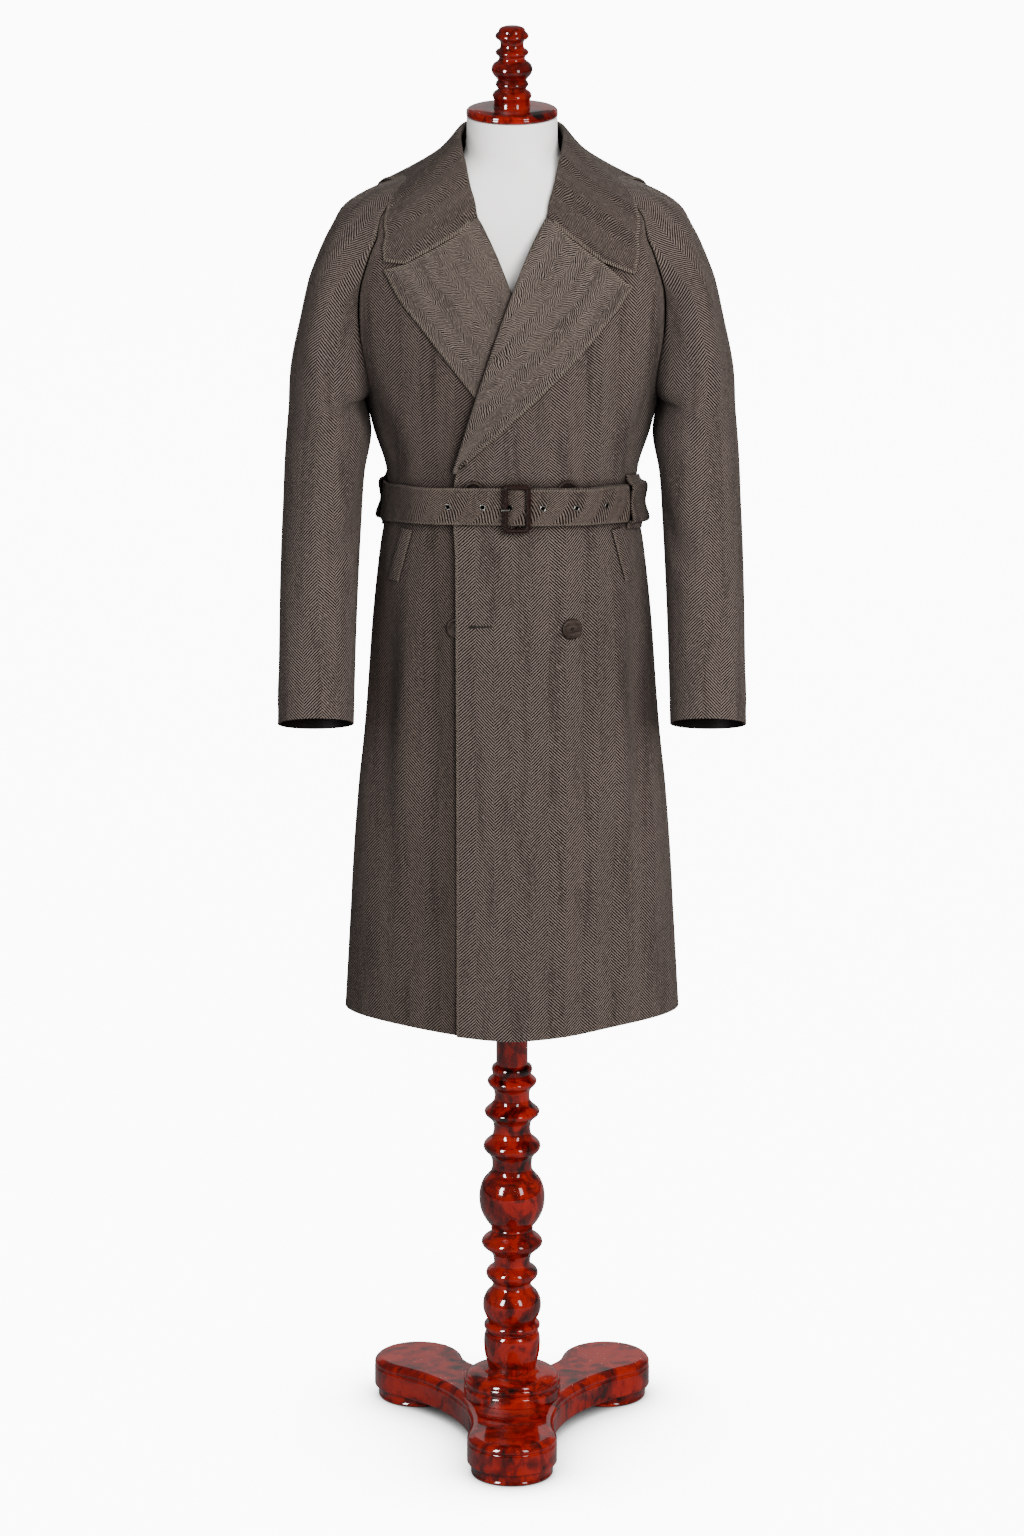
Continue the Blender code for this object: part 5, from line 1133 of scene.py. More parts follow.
def make_lapel(name, node, on_top, edge, gorge, end_level, rows):
    """A lapel: stations down the roll line, each turned over it and laid out to the lapel's edge."""
    t = np.concatenate(((0.0, 0.002, 0.006), np.linspace(0.012, 0.988, rows), (0.996, 1.0)))
    level = GORGE + 0.0007 + (end_level - GORGE) * t
    x = along(FRONT_EDGE[:, 0], FRONT_EDGE[:, 1], level)
    angle = angle_at(x, level)
    lift = front_step(x, level, on_top)
    normal = body_normal(level, angle)
    run = np.gradient(lifted(level, angle, lift), t, axis=0)
    into_opening = unit(np.cross(run, normal))
    into_opening *= np.sign(-into_opening[:1, :1])
    into_opening = toward_gorge(into_opening, smooth(1 - t / 0.10), gorge)
    start = lifted(level, angle, lift - CLOTH / 2) + into_opening * (SEAM + 0.0008)
    out_x, out_level = (along(edge[:, 0], edge[:, k], t) for k in (1, 2))
    share = np.concatenate((np.linspace(0.07, 0.94, 40), (0.965, 0.98, 0.99, 0.996, 1.0)))
    fall_x = x[:, None] + (out_x - x)[:, None] * share
    fall_level = level[:, None] + (out_level - level)[:, None] * share
    gorge_x, gorge_level = gorge_line(gorge, edge[0, 1:], share)
    fade = ((1 - t) ** 4)[:, None]
    fall_x = fall_x + (gorge_x - fall_x[0]) * fade
    fall_level = fall_level + (gorge_level - 0.0018 * smooth(share / 0.3) - fall_level[0]) * fade
    out = share * np.linalg.norm(np.stack((out_x - x, out_level - level), -1), axis=-1)[:, None]
    to_edge = out[:, -1:] - out
    to_gorge = walked(np.stack((fall_x, fall_level), -1), axis=0)
    puff = 0.0016 * np.sin(np.pi * np.clip(share, 0, 1))
    puff = puff * smooth(t / 0.08)[:, None] * smooth((1 - t) / 0.2)[:, None]
    edge_roll = seam_relief(to_edge + 0.001) * 0.8 + seam_relief(to_gorge + 0.0012) * 0.6
    under = front_step(fall_x, fall_level, on_top)
    fall = lifted(fall_level, angle_at(fall_x, fall_level), under + LAPEL_GAP + CLOTH / 2 + puff + edge_roll)
    middle = turned_cloth(start, into_opening, normal, np.zeros((len(t), 3)), fall)
    outer = middle - sheet_normals(middle) * CLOTH / 2
    reach = walked(outer, axis=1)
    down = walked(outer[:, -1])[:, None]
    maps = {"Cloth": np.stack((reach[:, -1:] - reach, down + 0 * reach), -1),
            "Edge": turned_edges(reach, down, to_edge, to_gorge)}
    return cloth_shell(name, outer, maps, lapel_wool, node, flip=True, right=not on_top,
                       inside=wool)


make_lapel("coat_lapel_left", "lapel_left", True, LAPEL_LEFT_EDGE, GORGE_LEFT, LAPEL_LEFT_END, 130)
make_lapel("coat_lapel_right", "lapel_right", False, LAPEL_RIGHT_EDGE, GORGE_RIGHT, LAPEL_RIGHT_END,
                    80)

# ------------------------------------------------------------------ collar
# One band of the same wool, joined to the neckline and to both lapels: a stand, a fold, and a broad
# fall over the shoulders, with whipped edges.  It is left open at the notch on the wearer's left.

COLLAR_GAP = 0.002
# From the gorge round to the middle of the back: neckline and outer edge by angle and height, then
# how far the fold stands inwards and above the neckline.
COLLAR = np.array((
    (10.5, 1.6345, 43.0, 1.5760, 0.000, 0.000), (14.7, 1.6500, 44.0, 1.5960, 0.004, 0.010),
    (23.2, 1.6630, 43.5, 1.6180, 0.011, 0.022), (35.8, 1.6725, 48.5, 1.6430, 0.017, 0.032),
    (56.8, 1.6810, 66.0, 1.6610, 0.020, 0.038), (90.0, 1.6880, 90.0, 1.6690, 0.020, 0.040),
    (118.0, 1.6930, 112.0, 1.6560, 0.016, 0.035), (138.0, 1.6945, 132.0, 1.6350, 0.009, 0.031),
    (160.0, 1.6950, 157.0, 1.6160, 0.005, 0.030), (180.0, 1.6950, 180.0, 1.6100, 0.004, 0.030),
))
COLLAR_POINT_LEFT = (0.1512, 1.5670)
COLLAR_POINT_RIGHT = (0.1574, 1.5816)
COLLAR_END = 2.25


collar_wool = wool_finish("collar_wool", "0b0605", "574d47", column=0.0190, pitch=0.0029, waver=0.009,
                          swirl=0.0050, contrast=0.85, edge=1.0, reach=0.0042, shade_in_hollows=(0.0, 0.55))


def make_collar(name, node):
    """The collar: stations round the neckline, each turned over the fold and laid out to its edge."""
    numbers = np.arange(len(COLLAR))
    positions = np.concatenate(((0.0, 0.012, 0.03, 0.06), np.linspace(0.1, len(COLLAR) - 1, 92)))
    half = along(numbers, COLLAR, positions)
    side = half.copy()
    side[:, [0, 2]] = 360 - side[:, [0, 2]]
    table = np.concatenate((half, side[-2::-1]))
    place = np.concatenate((positions, 2 * positions[-1] - positions[-2::-1]))
    neck_angle, edge_angle = np.radians(table[:, 0]), np.radians(table[:, 2])
    neck, normal = body_point(table[:, 1], neck_angle), body_normal(table[:, 1], neck_angle)
    run = np.gradient(neck, place, axis=0)
    into_opening = unit(np.cross(normal, run))
    into_opening *= np.where(into_opening[:, 2:] < 0, -1, 1)
    into_opening = toward_gorge(into_opening, smooth(1 - place / 0.6), GORGE_LEFT)
    into_opening = toward_gorge(into_opening, smooth(1 - (place[-1] - place) / 0.6), GORGE_RIGHT, -1.0)
    inwards = -unit(neck * (1, 1, 0))
    rise = inwards * table[:, 4:5] + np.array((0, 0, 1)) * table[:, 5:6] + into_opening * 0.0012
    start = neck + into_opening * (SEAM + 0.0012) - normal * CLOTH / 2
    share = np.concatenate((np.linspace(0.06, 0.93, 34), (0.955, 0.972, 0.984, 0.993, 1.0)))
    angles = neck_angle[:, None] + (edge_angle - neck_angle)[:, None] * share
    heights = table[:, 1:2] + (table[:, 3:4] - table[:, 1:2]) * share
    for end, gorge, point, full in ((0, GORGE_LEFT, COLLAR_POINT_LEFT, 0.0),
                                    (-1, GORGE_RIGHT, COLLAR_POINT_RIGHT, 2 * np.pi)):
        x, level = gorge_line(gorge, point, share)
        part = (np.clip(1 - np.abs(place - place[end]) / COLLAR_END, 0, 1) ** 1.5)[:, None]
        angles = angles + (np.abs(full - angle_at(x, level)) - angles[end]) * part
        heights = heights + (level - heights[end]) * part
    fade = (1 - share) ** 2.4
    flat = body_point(heights, angles)
    step = np.where((np.cos(angles) > 0) & (np.sin(angles) > 0), front_step(flat[..., 0], heights), 0.0)
    out = walked(flat, axis=1)
    to_edge = out[:, -1:] - out
    to_end = walked(flat, axis=0)
    to_end = np.minimum(to_end, to_end[-1:] - to_end)
    beside = np.minimum(edge_angle, 2 * np.pi - edge_angle)
    at_shoulder = smooth((beside - 0.80) / 0.25) * smooth((1.95 - beside) / 0.30)
    gap = COLLAR_GAP * (1 - 0.7 * smooth((share - 0.6) / 0.4))
    gap = gap - 0.0042 * at_shoulder[:, None] * smooth((share - 0.45) / 0.55)
    lift = gap + CLOTH / 2 + 0.0012 * np.sin(np.pi * share) + 0.8 * seam_relief(to_edge + 0.001)
    lift = lift + 0.6 * seam_relief(to_end + 0.0012)
    fall = lifted(heights, angles, step + lift) + rise[:, None] * fade[:, None]
    middle = turned_cloth(start, into_opening, normal, rise, fall)
    outer = middle + sheet_normals(middle) * CLOTH / 2
    reach = walked(outer, axis=1)
    down = walked(outer[:, -1])[:, None]
    maps = {"Cloth": np.stack((down - down[-1] / 2 + 0 * reach, reach[:, -1:] - reach), -1),
            "Edge": turned_edges(reach, down, to_edge, to_end)}
    return cloth_shell(name, outer, maps, collar_wool, node, inside=collar_wool)


make_collar("coat_collar", "collar")

# ------------------------------------------------------------------ buttons and the buttonhole
# Four dark horn buttons, turned with a thick rim and a dished middle, each sewn on through a small
# eye that shows a knot of thread.  The buttonhole is a slit worked round with wool thread.

BUTTON_RADIUS = 0.013
BUTTON_THICK = 0.0036
BUTTON_GAP = 0.0007
# node, x, height, on the top front
BUTTONS = (
    ("button_waist_left", 0.0660, 1.3000, True), ("button_waist_right", -0.0460, 1.3000, True),
    ("button_skirt_left", 0.0725, 1.1217, True), ("button_skirt_right", -0.0687, 1.1212, False),
)
# Height and radius as shares of the button's thickness and radius, from the middle of its face.
BUTTON_SECTION = (
    (0.44, 0.0), (0.44, 0.10), (0.46, 0.135), (0.62, 0.165), (0.665, 0.20), (0.65, 0.26), (0.64, 0.40),
    (0.66, 0.56), (0.78, 0.68), (0.93, 0.75), (1.00, 0.83), (0.97, 0.91), (0.82, 0.97), (0.58, 1.00),
    (0.32, 0.99), (0.10, 0.94), (0.0, 0.86), (0.0, 0.86), (0.0, 0.0),
)
# The buttonhole: x of both ends, height.
BUTTONHOLE = (-0.0530, -0.0240, 1.1265)
THREAD = 0.0005
KNOT_RADIUS = 0.0007
KNOT_THREAD = 0.0006

horn, tree, shader = new_material("dark_horn", Specular_IOR_Level=0.10)
place, grains = grained(tree, 0.0012, 0.010)
streak, _ = noise(tree, stretched(tree, place, (40.0, 40.0, 260.0), (0.0, 0.5, 0.3)), 1.0, 3.0, 0.6)
tint = ramp(tree, streak, (0.30, chip("1c1512")), (0.55, chip("2c2420")), (0.75, chip("3a312c")))
# Painted shade where the button lies close to the cloth, by how open it is to the room.
hollow = eased(tree, open_to_room(tree, 0.012), 0.45, 0.92)
feed(tree, shader, Base_Color=blend_colour(tree, hollow, chip("040202"), tint),
     Roughness=eased(tree, grains["Fine"], 0.2, 0.8, 0.40, 0.56),
     Normal=bumped(tree, grains["Height"], 0.25, 0.0002))

thread, tree, shader = new_material("wool_thread", Specular_IOR_Level=0.25)
_, grains = grained(tree, 0.0005, 0.006)
feed(tree, shader, Base_Color=ramp(tree, grains["Fine"], (0.3, chip("120e0c")), (0.7, chip("2e2824"))),
     Roughness=eased(tree, grains["Fine"], 0.2, 0.8, 0.85, 0.98),
     Normal=bumped(tree, grains["Fine"], 0.8, 0.0003))


def face_frame(normal):
    """Directions sideways, upright and outwards on a face, from its outward direction."""
    sideways = unit(np.cross((0, 0, 1), normal))
    return np.stack((sideways, np.cross(normal, sideways), normal), -1)


def front_frame(x, height, on_top):
    """A point of the front and the directions of its face, from four points half a button away."""
    xs = x + np.array((0, -1, 1, 0, 0)) * BUTTON_RADIUS / 2
    heights = height + np.array((0, 0, 0, -1, 1)) * BUTTON_RADIUS / 2
    place, left, right, low, high = lifted(heights, angle_at(xs, heights), front_step(xs, heights, on_top))
    return place, face_frame(unit(np.cross(right - left, high - low)))


def tube(path, radius, around=10, closed=False):
    """A round cord along a path: circles square to it, whose first direction stays nearest to upright."""
    ahead = unit(np.roll(path, -1, 0) - np.roll(path, 1, 0) if closed else np.gradient(path, axis=0))
    side = unit(np.cross(ahead, (0.31, 0.2, 0.93)))
    up = np.cross(side, ahead)
    angles = np.linspace(0, 2 * np.pi, around, endpoint=False)
    radius = np.broadcast_to(radius, len(path))[:, None, None]
    cos, sin = np.cos(angles)[:, None], np.sin(angles)[:, None]
    return path[:, None] + radius * (side[:, None] * cos + up[:, None] * sin)


section = section_curve(np.array(BUTTON_SECTION) * (BUTTON_THICK, BUTTON_RADIUS), 0.0004)[::-1]
button = turned_points(section, 64)
knot_angle = np.linspace(0, 2 * np.pi, 20, endpoint=False)
knot = np.stack((KNOT_RADIUS * np.cos(knot_angle), KNOT_RADIUS * np.sin(knot_angle), 0 * knot_angle), -1)
for node, x, height, on_top in BUTTONS:
    place, axes = front_frame(x, height, on_top)
    new_piece(f"horn_{node}", place + axes[:, 2] * BUTTON_GAP + button @ axes.T,
              grid_quads(*button.shape[:2], closed=True), horn, (node,), weld=2e-6, sharp=60)
    path = place + axes[:, 2] * (BUTTON_GAP + 0.58 * BUTTON_THICK) + knot @ axes.T
    new_piece(f"knot_{node}", tube(path, KNOT_THREAD, closed=True), grid_quads(20, 10, True, True),
              thread, sharp=0)

slit = np.linspace(0, 2 * np.pi, 90, endpoint=False)
middle, half = (BUTTONHOLE[0] + BUTTONHOLE[1]) / 2, (BUTTONHOLE[1] - BUTTONHOLE[0]) / 2
open_by = 0.0024 * (1 - smooth((np.cos(slit) + 1) / 0.7)) + 0.0009
xs = middle + half * np.cos(slit)
heights = BUTTONHOLE[2] + open_by * np.sin(slit) - 0.0006 * (1 - np.cos(slit))
wobble = 0.00012 * np.sin(slit * 45)
path = lifted(heights, angle_at(xs, heights), front_step(xs, heights) + THREAD * 0.5 + wobble)
new_piece("buttonhole_stitch", tube(path, THREAD + wobble, closed=True), grid_quads(90, 10, True, True),
          thread, sharp=0)
# A dark sheet of the lining over the slit: painted shade inside the open buttonhole.
shares = np.linspace(0, 1, 5)[:, None]
patch_x = middle + (xs - middle) * shares
patch_z = BUTTONHOLE[2] + (heights - BUTTONHOLE[2]) * shares
patch = lifted(patch_z, angle_at(patch_x, patch_z), front_step(patch_x, patch_z) + 0.00035)
new_piece("buttonhole_slit_shade", patch, grid_quads(5, 90, closed=True), lining, weld=2e-6, sharp=0)

# ------------------------------------------------------------------ pocket welts
# A narrow slanted strip of the wool stands at each front, the mouth of a side pocket.  It is folded
# double and stitched down at both ends.

# x and height of the middle of a welt's two ends.
WELT_TOP = (0.1300, 1.2380)
WELT_LOW = (0.1475, 1.1700)
WELT_WIDTH = 0.013
WELT_THICK = 0.0025
WELT_GAP = 0.0008


def make_welt(name, node, right):
    """A welt: the front's own points moved out, over a slanted strip of it, with a soft crown."""
    t, share = crowded(40, 0.02), crowded(20, 0.06)
    x, height = (WELT_LOW[k] + (WELT_TOP[k] - WELT_LOW[k]) * t[:, None] for k in (0, 1))
    x = x + (share - 0.5) * WELT_WIDTH
    height = height + 0 * x
    step = front_step(x, height, not right)
    crown = -0.0008 * np.abs(2 * share - 1) ** 3 - 0.0006 * (np.abs(2 * t - 1) ** 6)[:, None]
    outer = lifted(height, angle_at(x, height), step + WELT_GAP + WELT_THICK + crown)
    reach, up = walked(outer, axis=1), walked(outer, axis=0)
    maps = {"Cloth": np.stack((reach + WELT_LOW[0], up), -1), "Edge": np.stack((reach, up), -1)}
    return cloth_shell(name, outer, maps, wool, node, right=right, thickness=0.0016,
                       round_by=0.0004)


for name, node, right, front in (("coat_welt_left", "pocket_welt_left", False, "coat_front_left"),
                                 ("coat_welt_right", "pocket_welt_right", True, "coat_front_right")):
    make_welt(name, node, right)

# ------------------------------------------------------------------ belt loops
# A broad loop of the wool at each side seam is sewn on above and below the belt, which runs through
# it.  Its cut edges are whipped.

BELT_HEIGHT = 0.050
BELT_CLOTH = 0.004
BELT_LEVEL = 1.2555
BELT_DIP = 0.0265
BELT_CLEAR = 0.0022
BELT_FRONT_CLEAR = 0.0142
LOOP_REACH = 0.0095
LOOP_SEAT = 0.0014
# Height from the belt's middle, inner face above the coat, bottom to top.
LOOP_PATH = np.array((
    (-0.0310, LOOP_SEAT), (-0.0295, 0.0055), (-0.0270, LOOP_REACH), (0.0, LOOP_REACH + 0.0004),
    (0.0285, LOOP_REACH), (0.0325, 0.0055), (0.0340, LOOP_SEAT),
))
# Angles of a loop's two edges round the body, each from the front to its own side, in degrees.
LOOP_LEFT_ANGLES = (61.0, 82.0)
LOOP_RIGHT_ANGLES = (97.0, 117.0)


def belt_level(angle):
    """Height of the belt's middle at an angle: it dips behind."""
    return BELT_LEVEL + BELT_DIP * np.cos(angle)


def make_belt_loop(name, node, ends, right, snug=1.0):
    """A loop: its path over the belt, drawn in by snug, moved out by the cloth and carried along the belt."""
    table = LOOP_PATH * (1, snug)
    angles = np.radians(ends[0] + (ends[1] - ends[0]) * crowded(40, 0.02))
    across = unit(np.stack((np.gradient(table[:, 1]), -np.gradient(table[:, 0])), -1))
    path = table - across * (-1, 1) * CLOTH
    path[[0, -1], 1] = table[[0, -1], 1] + 0.0018
    path[0, 0] = table[0, 0] - CLOTH
    path[-1, 0] = table[-1, 0] + CLOTH
    reach = walked(path)
    path = along(reach, path, np.linspace(0, reach[-1], 60))
    around = np.broadcast_to(angles, (len(path), len(angles)))
    share = (angles - angles[0]) / (angles[-1] - angles[0])
    puff = 0.0008 * np.sin(np.pi * share) - 0.0006 * np.exp(-(share / 0.05) ** 2)
    outer = lifted(belt_level(angles) + path[:, :1], around, path[:, 1:] + puff)
    reach, up = walked(outer, axis=1), walked(outer, axis=0)
    maps = {"Cloth": np.stack((reach, up), -1),
            "Edge": np.stack((np.minimum(reach, reach[:, -1:] - reach), up), -1)}
    return cloth_shell(name, outer, maps, belt_wool, node, right=right, inside=belt_wool)


belt_wool = wool_finish("belt_wool", "060404", "5f534c", column=0.0250, pitch=0.0038, waver=0.004,
                        swirl=0.0016, edge=0.7, reach=0.0034)
make_belt_loop("coat_loop_left", "belt_loop_left", LOOP_LEFT_ANGLES, False)
make_belt_loop("coat_loop_right", "belt_loop_right", LOOP_RIGHT_ANGLES, True, 0.79)

# ------------------------------------------------------------------ belt
# One strap of two layers of the wool, stitched at its edges.  It is sewn round the buckle's bar, goes
# round the back, and comes over itself through the buckle to a free end at the wearer's left.

BELT_TIP_X = 0.1385
BELT_CORNER = 0.008
# Angle over which the strap's columns crowd towards its tip.
TIP_ANGLE = 0.07
# Gap between the belt's two turns where they cross.
BELT_SLACK = 0.0006
# Where the belt stands off the coat to bridge the buttons: middle and half width in x, and the run out.
BRIDGE = (-0.0075, 0.0875, 0.052)
EYELETS_X = (-0.0744, -0.0346, -0.0020, 0.0360, 0.0740, 0.1090)
EYELET_BARREL = 0.0027
# Inner face of the belt where it passes through the buckle: x, height above the coat.
THROUGH_BUCKLE = np.array((
    (-0.050, BELT_FRONT_CLEAR), (-0.030, BELT_FRONT_CLEAR + 0.0003), (-0.012, BELT_FRONT_CLEAR + 0.0013),
    (-0.002, BELT_FRONT_CLEAR + 0.0030), (0.0057, BELT_FRONT_CLEAR + 0.0039),
    (0.014, BELT_FRONT_CLEAR + BELT_CLOTH + BELT_SLACK),
    (0.050, BELT_FRONT_CLEAR + BELT_CLOTH + BELT_SLACK),
))


def belt_clearance(x, angle):
    """Inner face of the belt's first layer above the coat: it bridges the fastened buttons."""
    bridge = 1 - smooth((np.abs(x - BRIDGE[0]) - BRIDGE[1]) / BRIDGE[2])
    return BELT_CLEAR + (BELT_FRONT_CLEAR - BELT_CLEAR) * np.where(np.cos(angle) > 0, bridge, 0.0)


def belt_lift(angle):
    """Inner face of the belt above the coat, along its 1.3 turns from the buckle's pin."""
    x = body_point(belt_level(angle), angle)[..., 0]
    first = belt_clearance(x, angle)
    second = first + BELT_CLOTH + BELT_SLACK
    through = along(THROUGH_BUCKLE[:, 0], THROUGH_BUCKLE[:, 1], x)
    late = angle > 1.5 * np.pi
    near = late & (np.abs(x) < 0.05) & (np.cos(angle) > 0)
    return np.where(near, through, np.where(late & (x > 0), second, first))


def belt_place(x):
    """Middle of the inner face of the belt's upper layer at this x, and the belt's outward direction."""
    angle = float(angle_at(x, BELT_LEVEL + BELT_DIP))
    level = float(belt_level(angle))
    full = angle + 2 * np.pi
    around = np.array((full - 0.02, full + 0.02))
    before, after = lifted(belt_level(around), around, belt_lift(around))
    ahead = unit(after - before)
    normal = body_normal(level, angle)
    normal = unit(normal - ahead * np.dot(normal, ahead))
    return body_point(level, angle) + body_normal(level, angle) * float(belt_lift(np.array(full))), normal


def make_belt():
    """The strap: rows across it, lifted off the coat along a spiral, with a slight crown and turned edges."""
    full = 2 * np.pi
    start = float(angle_at(0.0115, BELT_LEVEL + BELT_DIP))
    tip = full + float(angle_at(BELT_TIP_X, belt_level(angle_at(BELT_TIP_X, BELT_LEVEL))))
    even = np.linspace(start, tip - TIP_ANGLE, 620)
    crowding = np.sin(np.linspace(0, np.pi / 2, 24))[1:]
    angles = np.concatenate((even, tip - TIP_ANGLE + TIP_ANGLE * crowding))
    corner_reach = np.clip((tip - angles) * 0.15, 0.0, BELT_CORNER)
    corner = BELT_CORNER - np.sqrt(BELT_CORNER ** 2 - (BELT_CORNER - corner_reach) ** 2)
    half = BELT_HEIGHT / 2 - corner * 0.9
    rows = crowded(24, 0.016) * 2 - 1
    heights = belt_level(angles) + rows[:, None] * half
    around = np.broadcast_to(angles, heights.shape)
    edge = (1 - np.abs(rows[:, None])) * half
    slack = 0.0003 * np.sin(angles * 37) * rows[:, None] + 0.0003 * np.sin(angles * 23 + 1.0)
    crown = 0.0004 * (1 - rows[:, None] ** 2) - 0.0005 * np.exp(-(edge / 0.0012) ** 2)
    crown = crown + np.minimum(slack, 0.0004)
    outer = lifted(heights, around, belt_lift(angles) + BELT_CLOTH + crown - 0.0002)
    reach = walked(outer, axis=1)
    to_end = reach[:, -1:] - reach
    nearest = np.minimum(edge + 0 * reach, to_end)
    way = np.where(to_end < edge, heights, reach)
    maps = {"Cloth": np.stack((reach, heights - BELT_LEVEL), -1), "Edge": np.stack((nearest, way), -1)}
    return cloth_shell("coat_belt", outer, maps, belt_wool, "belt",
                       thickness=BELT_CLOTH - 0.0008, round_by=0.0009, inside=belt_wool)


belt = make_belt()
cutter_points, cutter_faces = [], []
turn = np.linspace(0, 2 * np.pi, 32, endpoint=False)
for number, x in enumerate(EYELETS_X):
    place, normal = belt_place(x)
    axes = face_frame(normal)
    ring = np.cos(turn)[:, None] * axes[:, 0] + np.sin(turn)[:, None] * axes[:, 1]
    ring = place + (EYELET_BARREL + 0.0004) * ring
    cutter_points += [ring - normal * 0.0012, ring + normal * (BELT_CLOTH + 0.0022)]
    cutter_faces += [face + 2 * number * len(turn) for face in tube_faces(2, len(turn))]
cutter_mesh = bpy.data.meshes.new("belt_holes")
cutter_mesh.from_pydata(np.concatenate(cutter_points).tolist(), [], [face.tolist() for face in cutter_faces])
cutter = bpy.data.objects.new("belt_holes", cutter_mesh)
bpy.context.scene.collection.objects.link(cutter)
punch = belt.modifiers.new("holes", "BOOLEAN")
punch.object = cutter
punch.operation = "DIFFERENCE"
made_plain(belt)
bpy.data.objects.remove(cutter)

# ------------------------------------------------------------------ eyelets
# Small bright nickel rings, one to each hole of the belt.  Each is pressed through from the face and
# rolled over, so that a rounded rim stands on the wool.

EYELET_RADIUS = 0.004
EYELET_BORE = 0.0024
# Height above the belt's face and radius, all round the ring's section.
EYELET_SECTION = (
    (-BELT_CLOTH - 0.0001, EYELET_BORE), (0.0004, EYELET_BORE), (0.0009, EYELET_BORE + 0.0003),
    (0.0012, EYELET_BORE + 0.0009), (0.0011, EYELET_RADIUS - 0.0005), (0.0007, EYELET_RADIUS),
    (0.0004, EYELET_RADIUS), (0.0002, EYELET_RADIUS - 0.0003), (0.0002, EYELET_BARREL),
    (-BELT_CLOTH - 0.0001, EYELET_BARREL),
)

steel, tree, shader = new_material("bright_steel", Metallic=1.0, Specular_IOR_Level=0.5)
place, grains = grained(tree, 0.0006, 0.004)
scratch, _ = noise(tree, stretched(tree, place, (2600.0, 2600.0, 260.0)), 1.0, 2.0, 0.6)
bright = ramp(tree, grains["Cloud"], (0.3, chip("75736e")), (0.7, chip("93918b")))
# Painted shade in the eyelets' bores and other close places, by how open the steel is to the room.
hollow = eased(tree, open_to_room(tree, 0.004), 0.45, 0.80)
feed(tree, shader, Base_Color=blend_colour(tree, hollow, chip("050404"), bright),
     Roughness=eased(tree, scratch, 0.3, 0.7, 0.34, 0.50))

eyelet_points, eyelet_faces = [], []
ring = turned_points(np.array(EYELET_SECTION), 40)
ring_faces = grid_quads(*ring.shape[:2], True, True)[:, ::-1]
for number, x in enumerate(EYELETS_X):
    place, normal = belt_place(x)
    eyelet_points.append(place + normal * BELT_CLOTH + ring @ face_frame(normal).T)
    eyelet_faces.append(ring_faces + number * ring.shape[0] * ring.shape[1])
new_piece("belt_eyelets", np.concatenate(eyelet_points), np.concatenate(eyelet_faces), steel,
          [f"eyelet_{number}" for number in range(1, 7)], sharp=50)

# ------------------------------------------------------------------ buckle
# A frame covered in dark brown leather, its edges worn a little lighter, on a steel bar whose ends
# bend up to it; a steel prong turns on the bar, goes through an eyelet and lies on the frame.

BUCKLE_X = (-0.0117, 0.0232)
BUCKLE_HEIGHT = 0.063
BUCKLE_BAR = 0.006
BUCKLE_THICK = 0.004
BUCKLE_LIFT = 0.0242
PIN_X = 0.0057
PIN_LIFT = 0.0158
PIN_RADIUS = 0.0015
PRONG_RADIUS = 0.0012

leather, tree, shader = new_material("brown_leather", Specular_IOR_Level=0.14, Coat_Weight=0.03,
                                     Coat_Roughness=0.3)
place, grains = grained(tree, 0.0007, 0.012)
cells = add_node(tree, "ShaderNodeTexVoronoi", {"Vector": place, "Scale": 1500.0}, feature="DISTANCE_TO_EDGE")
pore = eased(tree, cells.outputs["Distance"], 0.0, 0.25)
worn = eased(tree, add_node(tree, "ShaderNodeNewGeometry").outputs["Pointiness"], 0.50, 0.60)
tint = ramp(tree, grains["Cloud"], (0.3, chip("0c0504")), (0.7, chip("140907")))
feed(tree, shader, Base_Color=blend_colour(tree, calc(tree, "MULTIPLY", worn, 0.5), tint, chip("33211b")),
     Roughness=eased(tree, pore, 0.0, 1.0, 0.58, 0.40),
     Normal=bumped(tree, pore, 0.35, 0.0002))

# Near-black steel for the buckle's bar: painted shade, so that the bar reads as the shade inside the buckle's
# window.
bar_steel, tree, shader = new_material("shaded_bar_steel", Metallic=1.0)
_, grains = grained(tree, 0.0006, 0.004)
feed(tree, shader, Base_Color=ramp(tree, grains["Cloud"], (0.3, chip("1c1410")), (0.7, chip("2a1f19"))),
     Roughness=eased(tree, grains["Fine"], 0.2, 0.8, 0.40, 0.60))


def rounded_outline(width, height, radius):
    """A rounded rectangle about the origin, counterclockwise: four quarter circles."""
    sides = np.array((width / 2 - radius, height / 2 - radius))
    return np.concatenate([
        arc(sides * corner, radius, np.pi / 2 * quarter, np.pi / 2 * (quarter + 1), 14)
        for quarter, corner in enumerate(((1, 1), (-1, 1), (-1, -1), (1, -1)))])


buckle_level = BELT_LEVEL + BELT_DIP
buckle_middle = sum(BUCKLE_X) / 2
buckle_angle = float(angle_at(buckle_middle, buckle_level))
buckle_point, buckle_out = body_point(buckle_level, buckle_angle), body_normal(buckle_level, buckle_angle)
buckle_axes = face_frame(buckle_out)
width = BUCKLE_X[1] - BUCKLE_X[0]
outline = rounded_outline(width, BUCKLE_HEIGHT, 0.006)
window = rounded_outline(width - 2 * BUCKLE_BAR, BUCKLE_HEIGHT - 0.011, 0.0025)
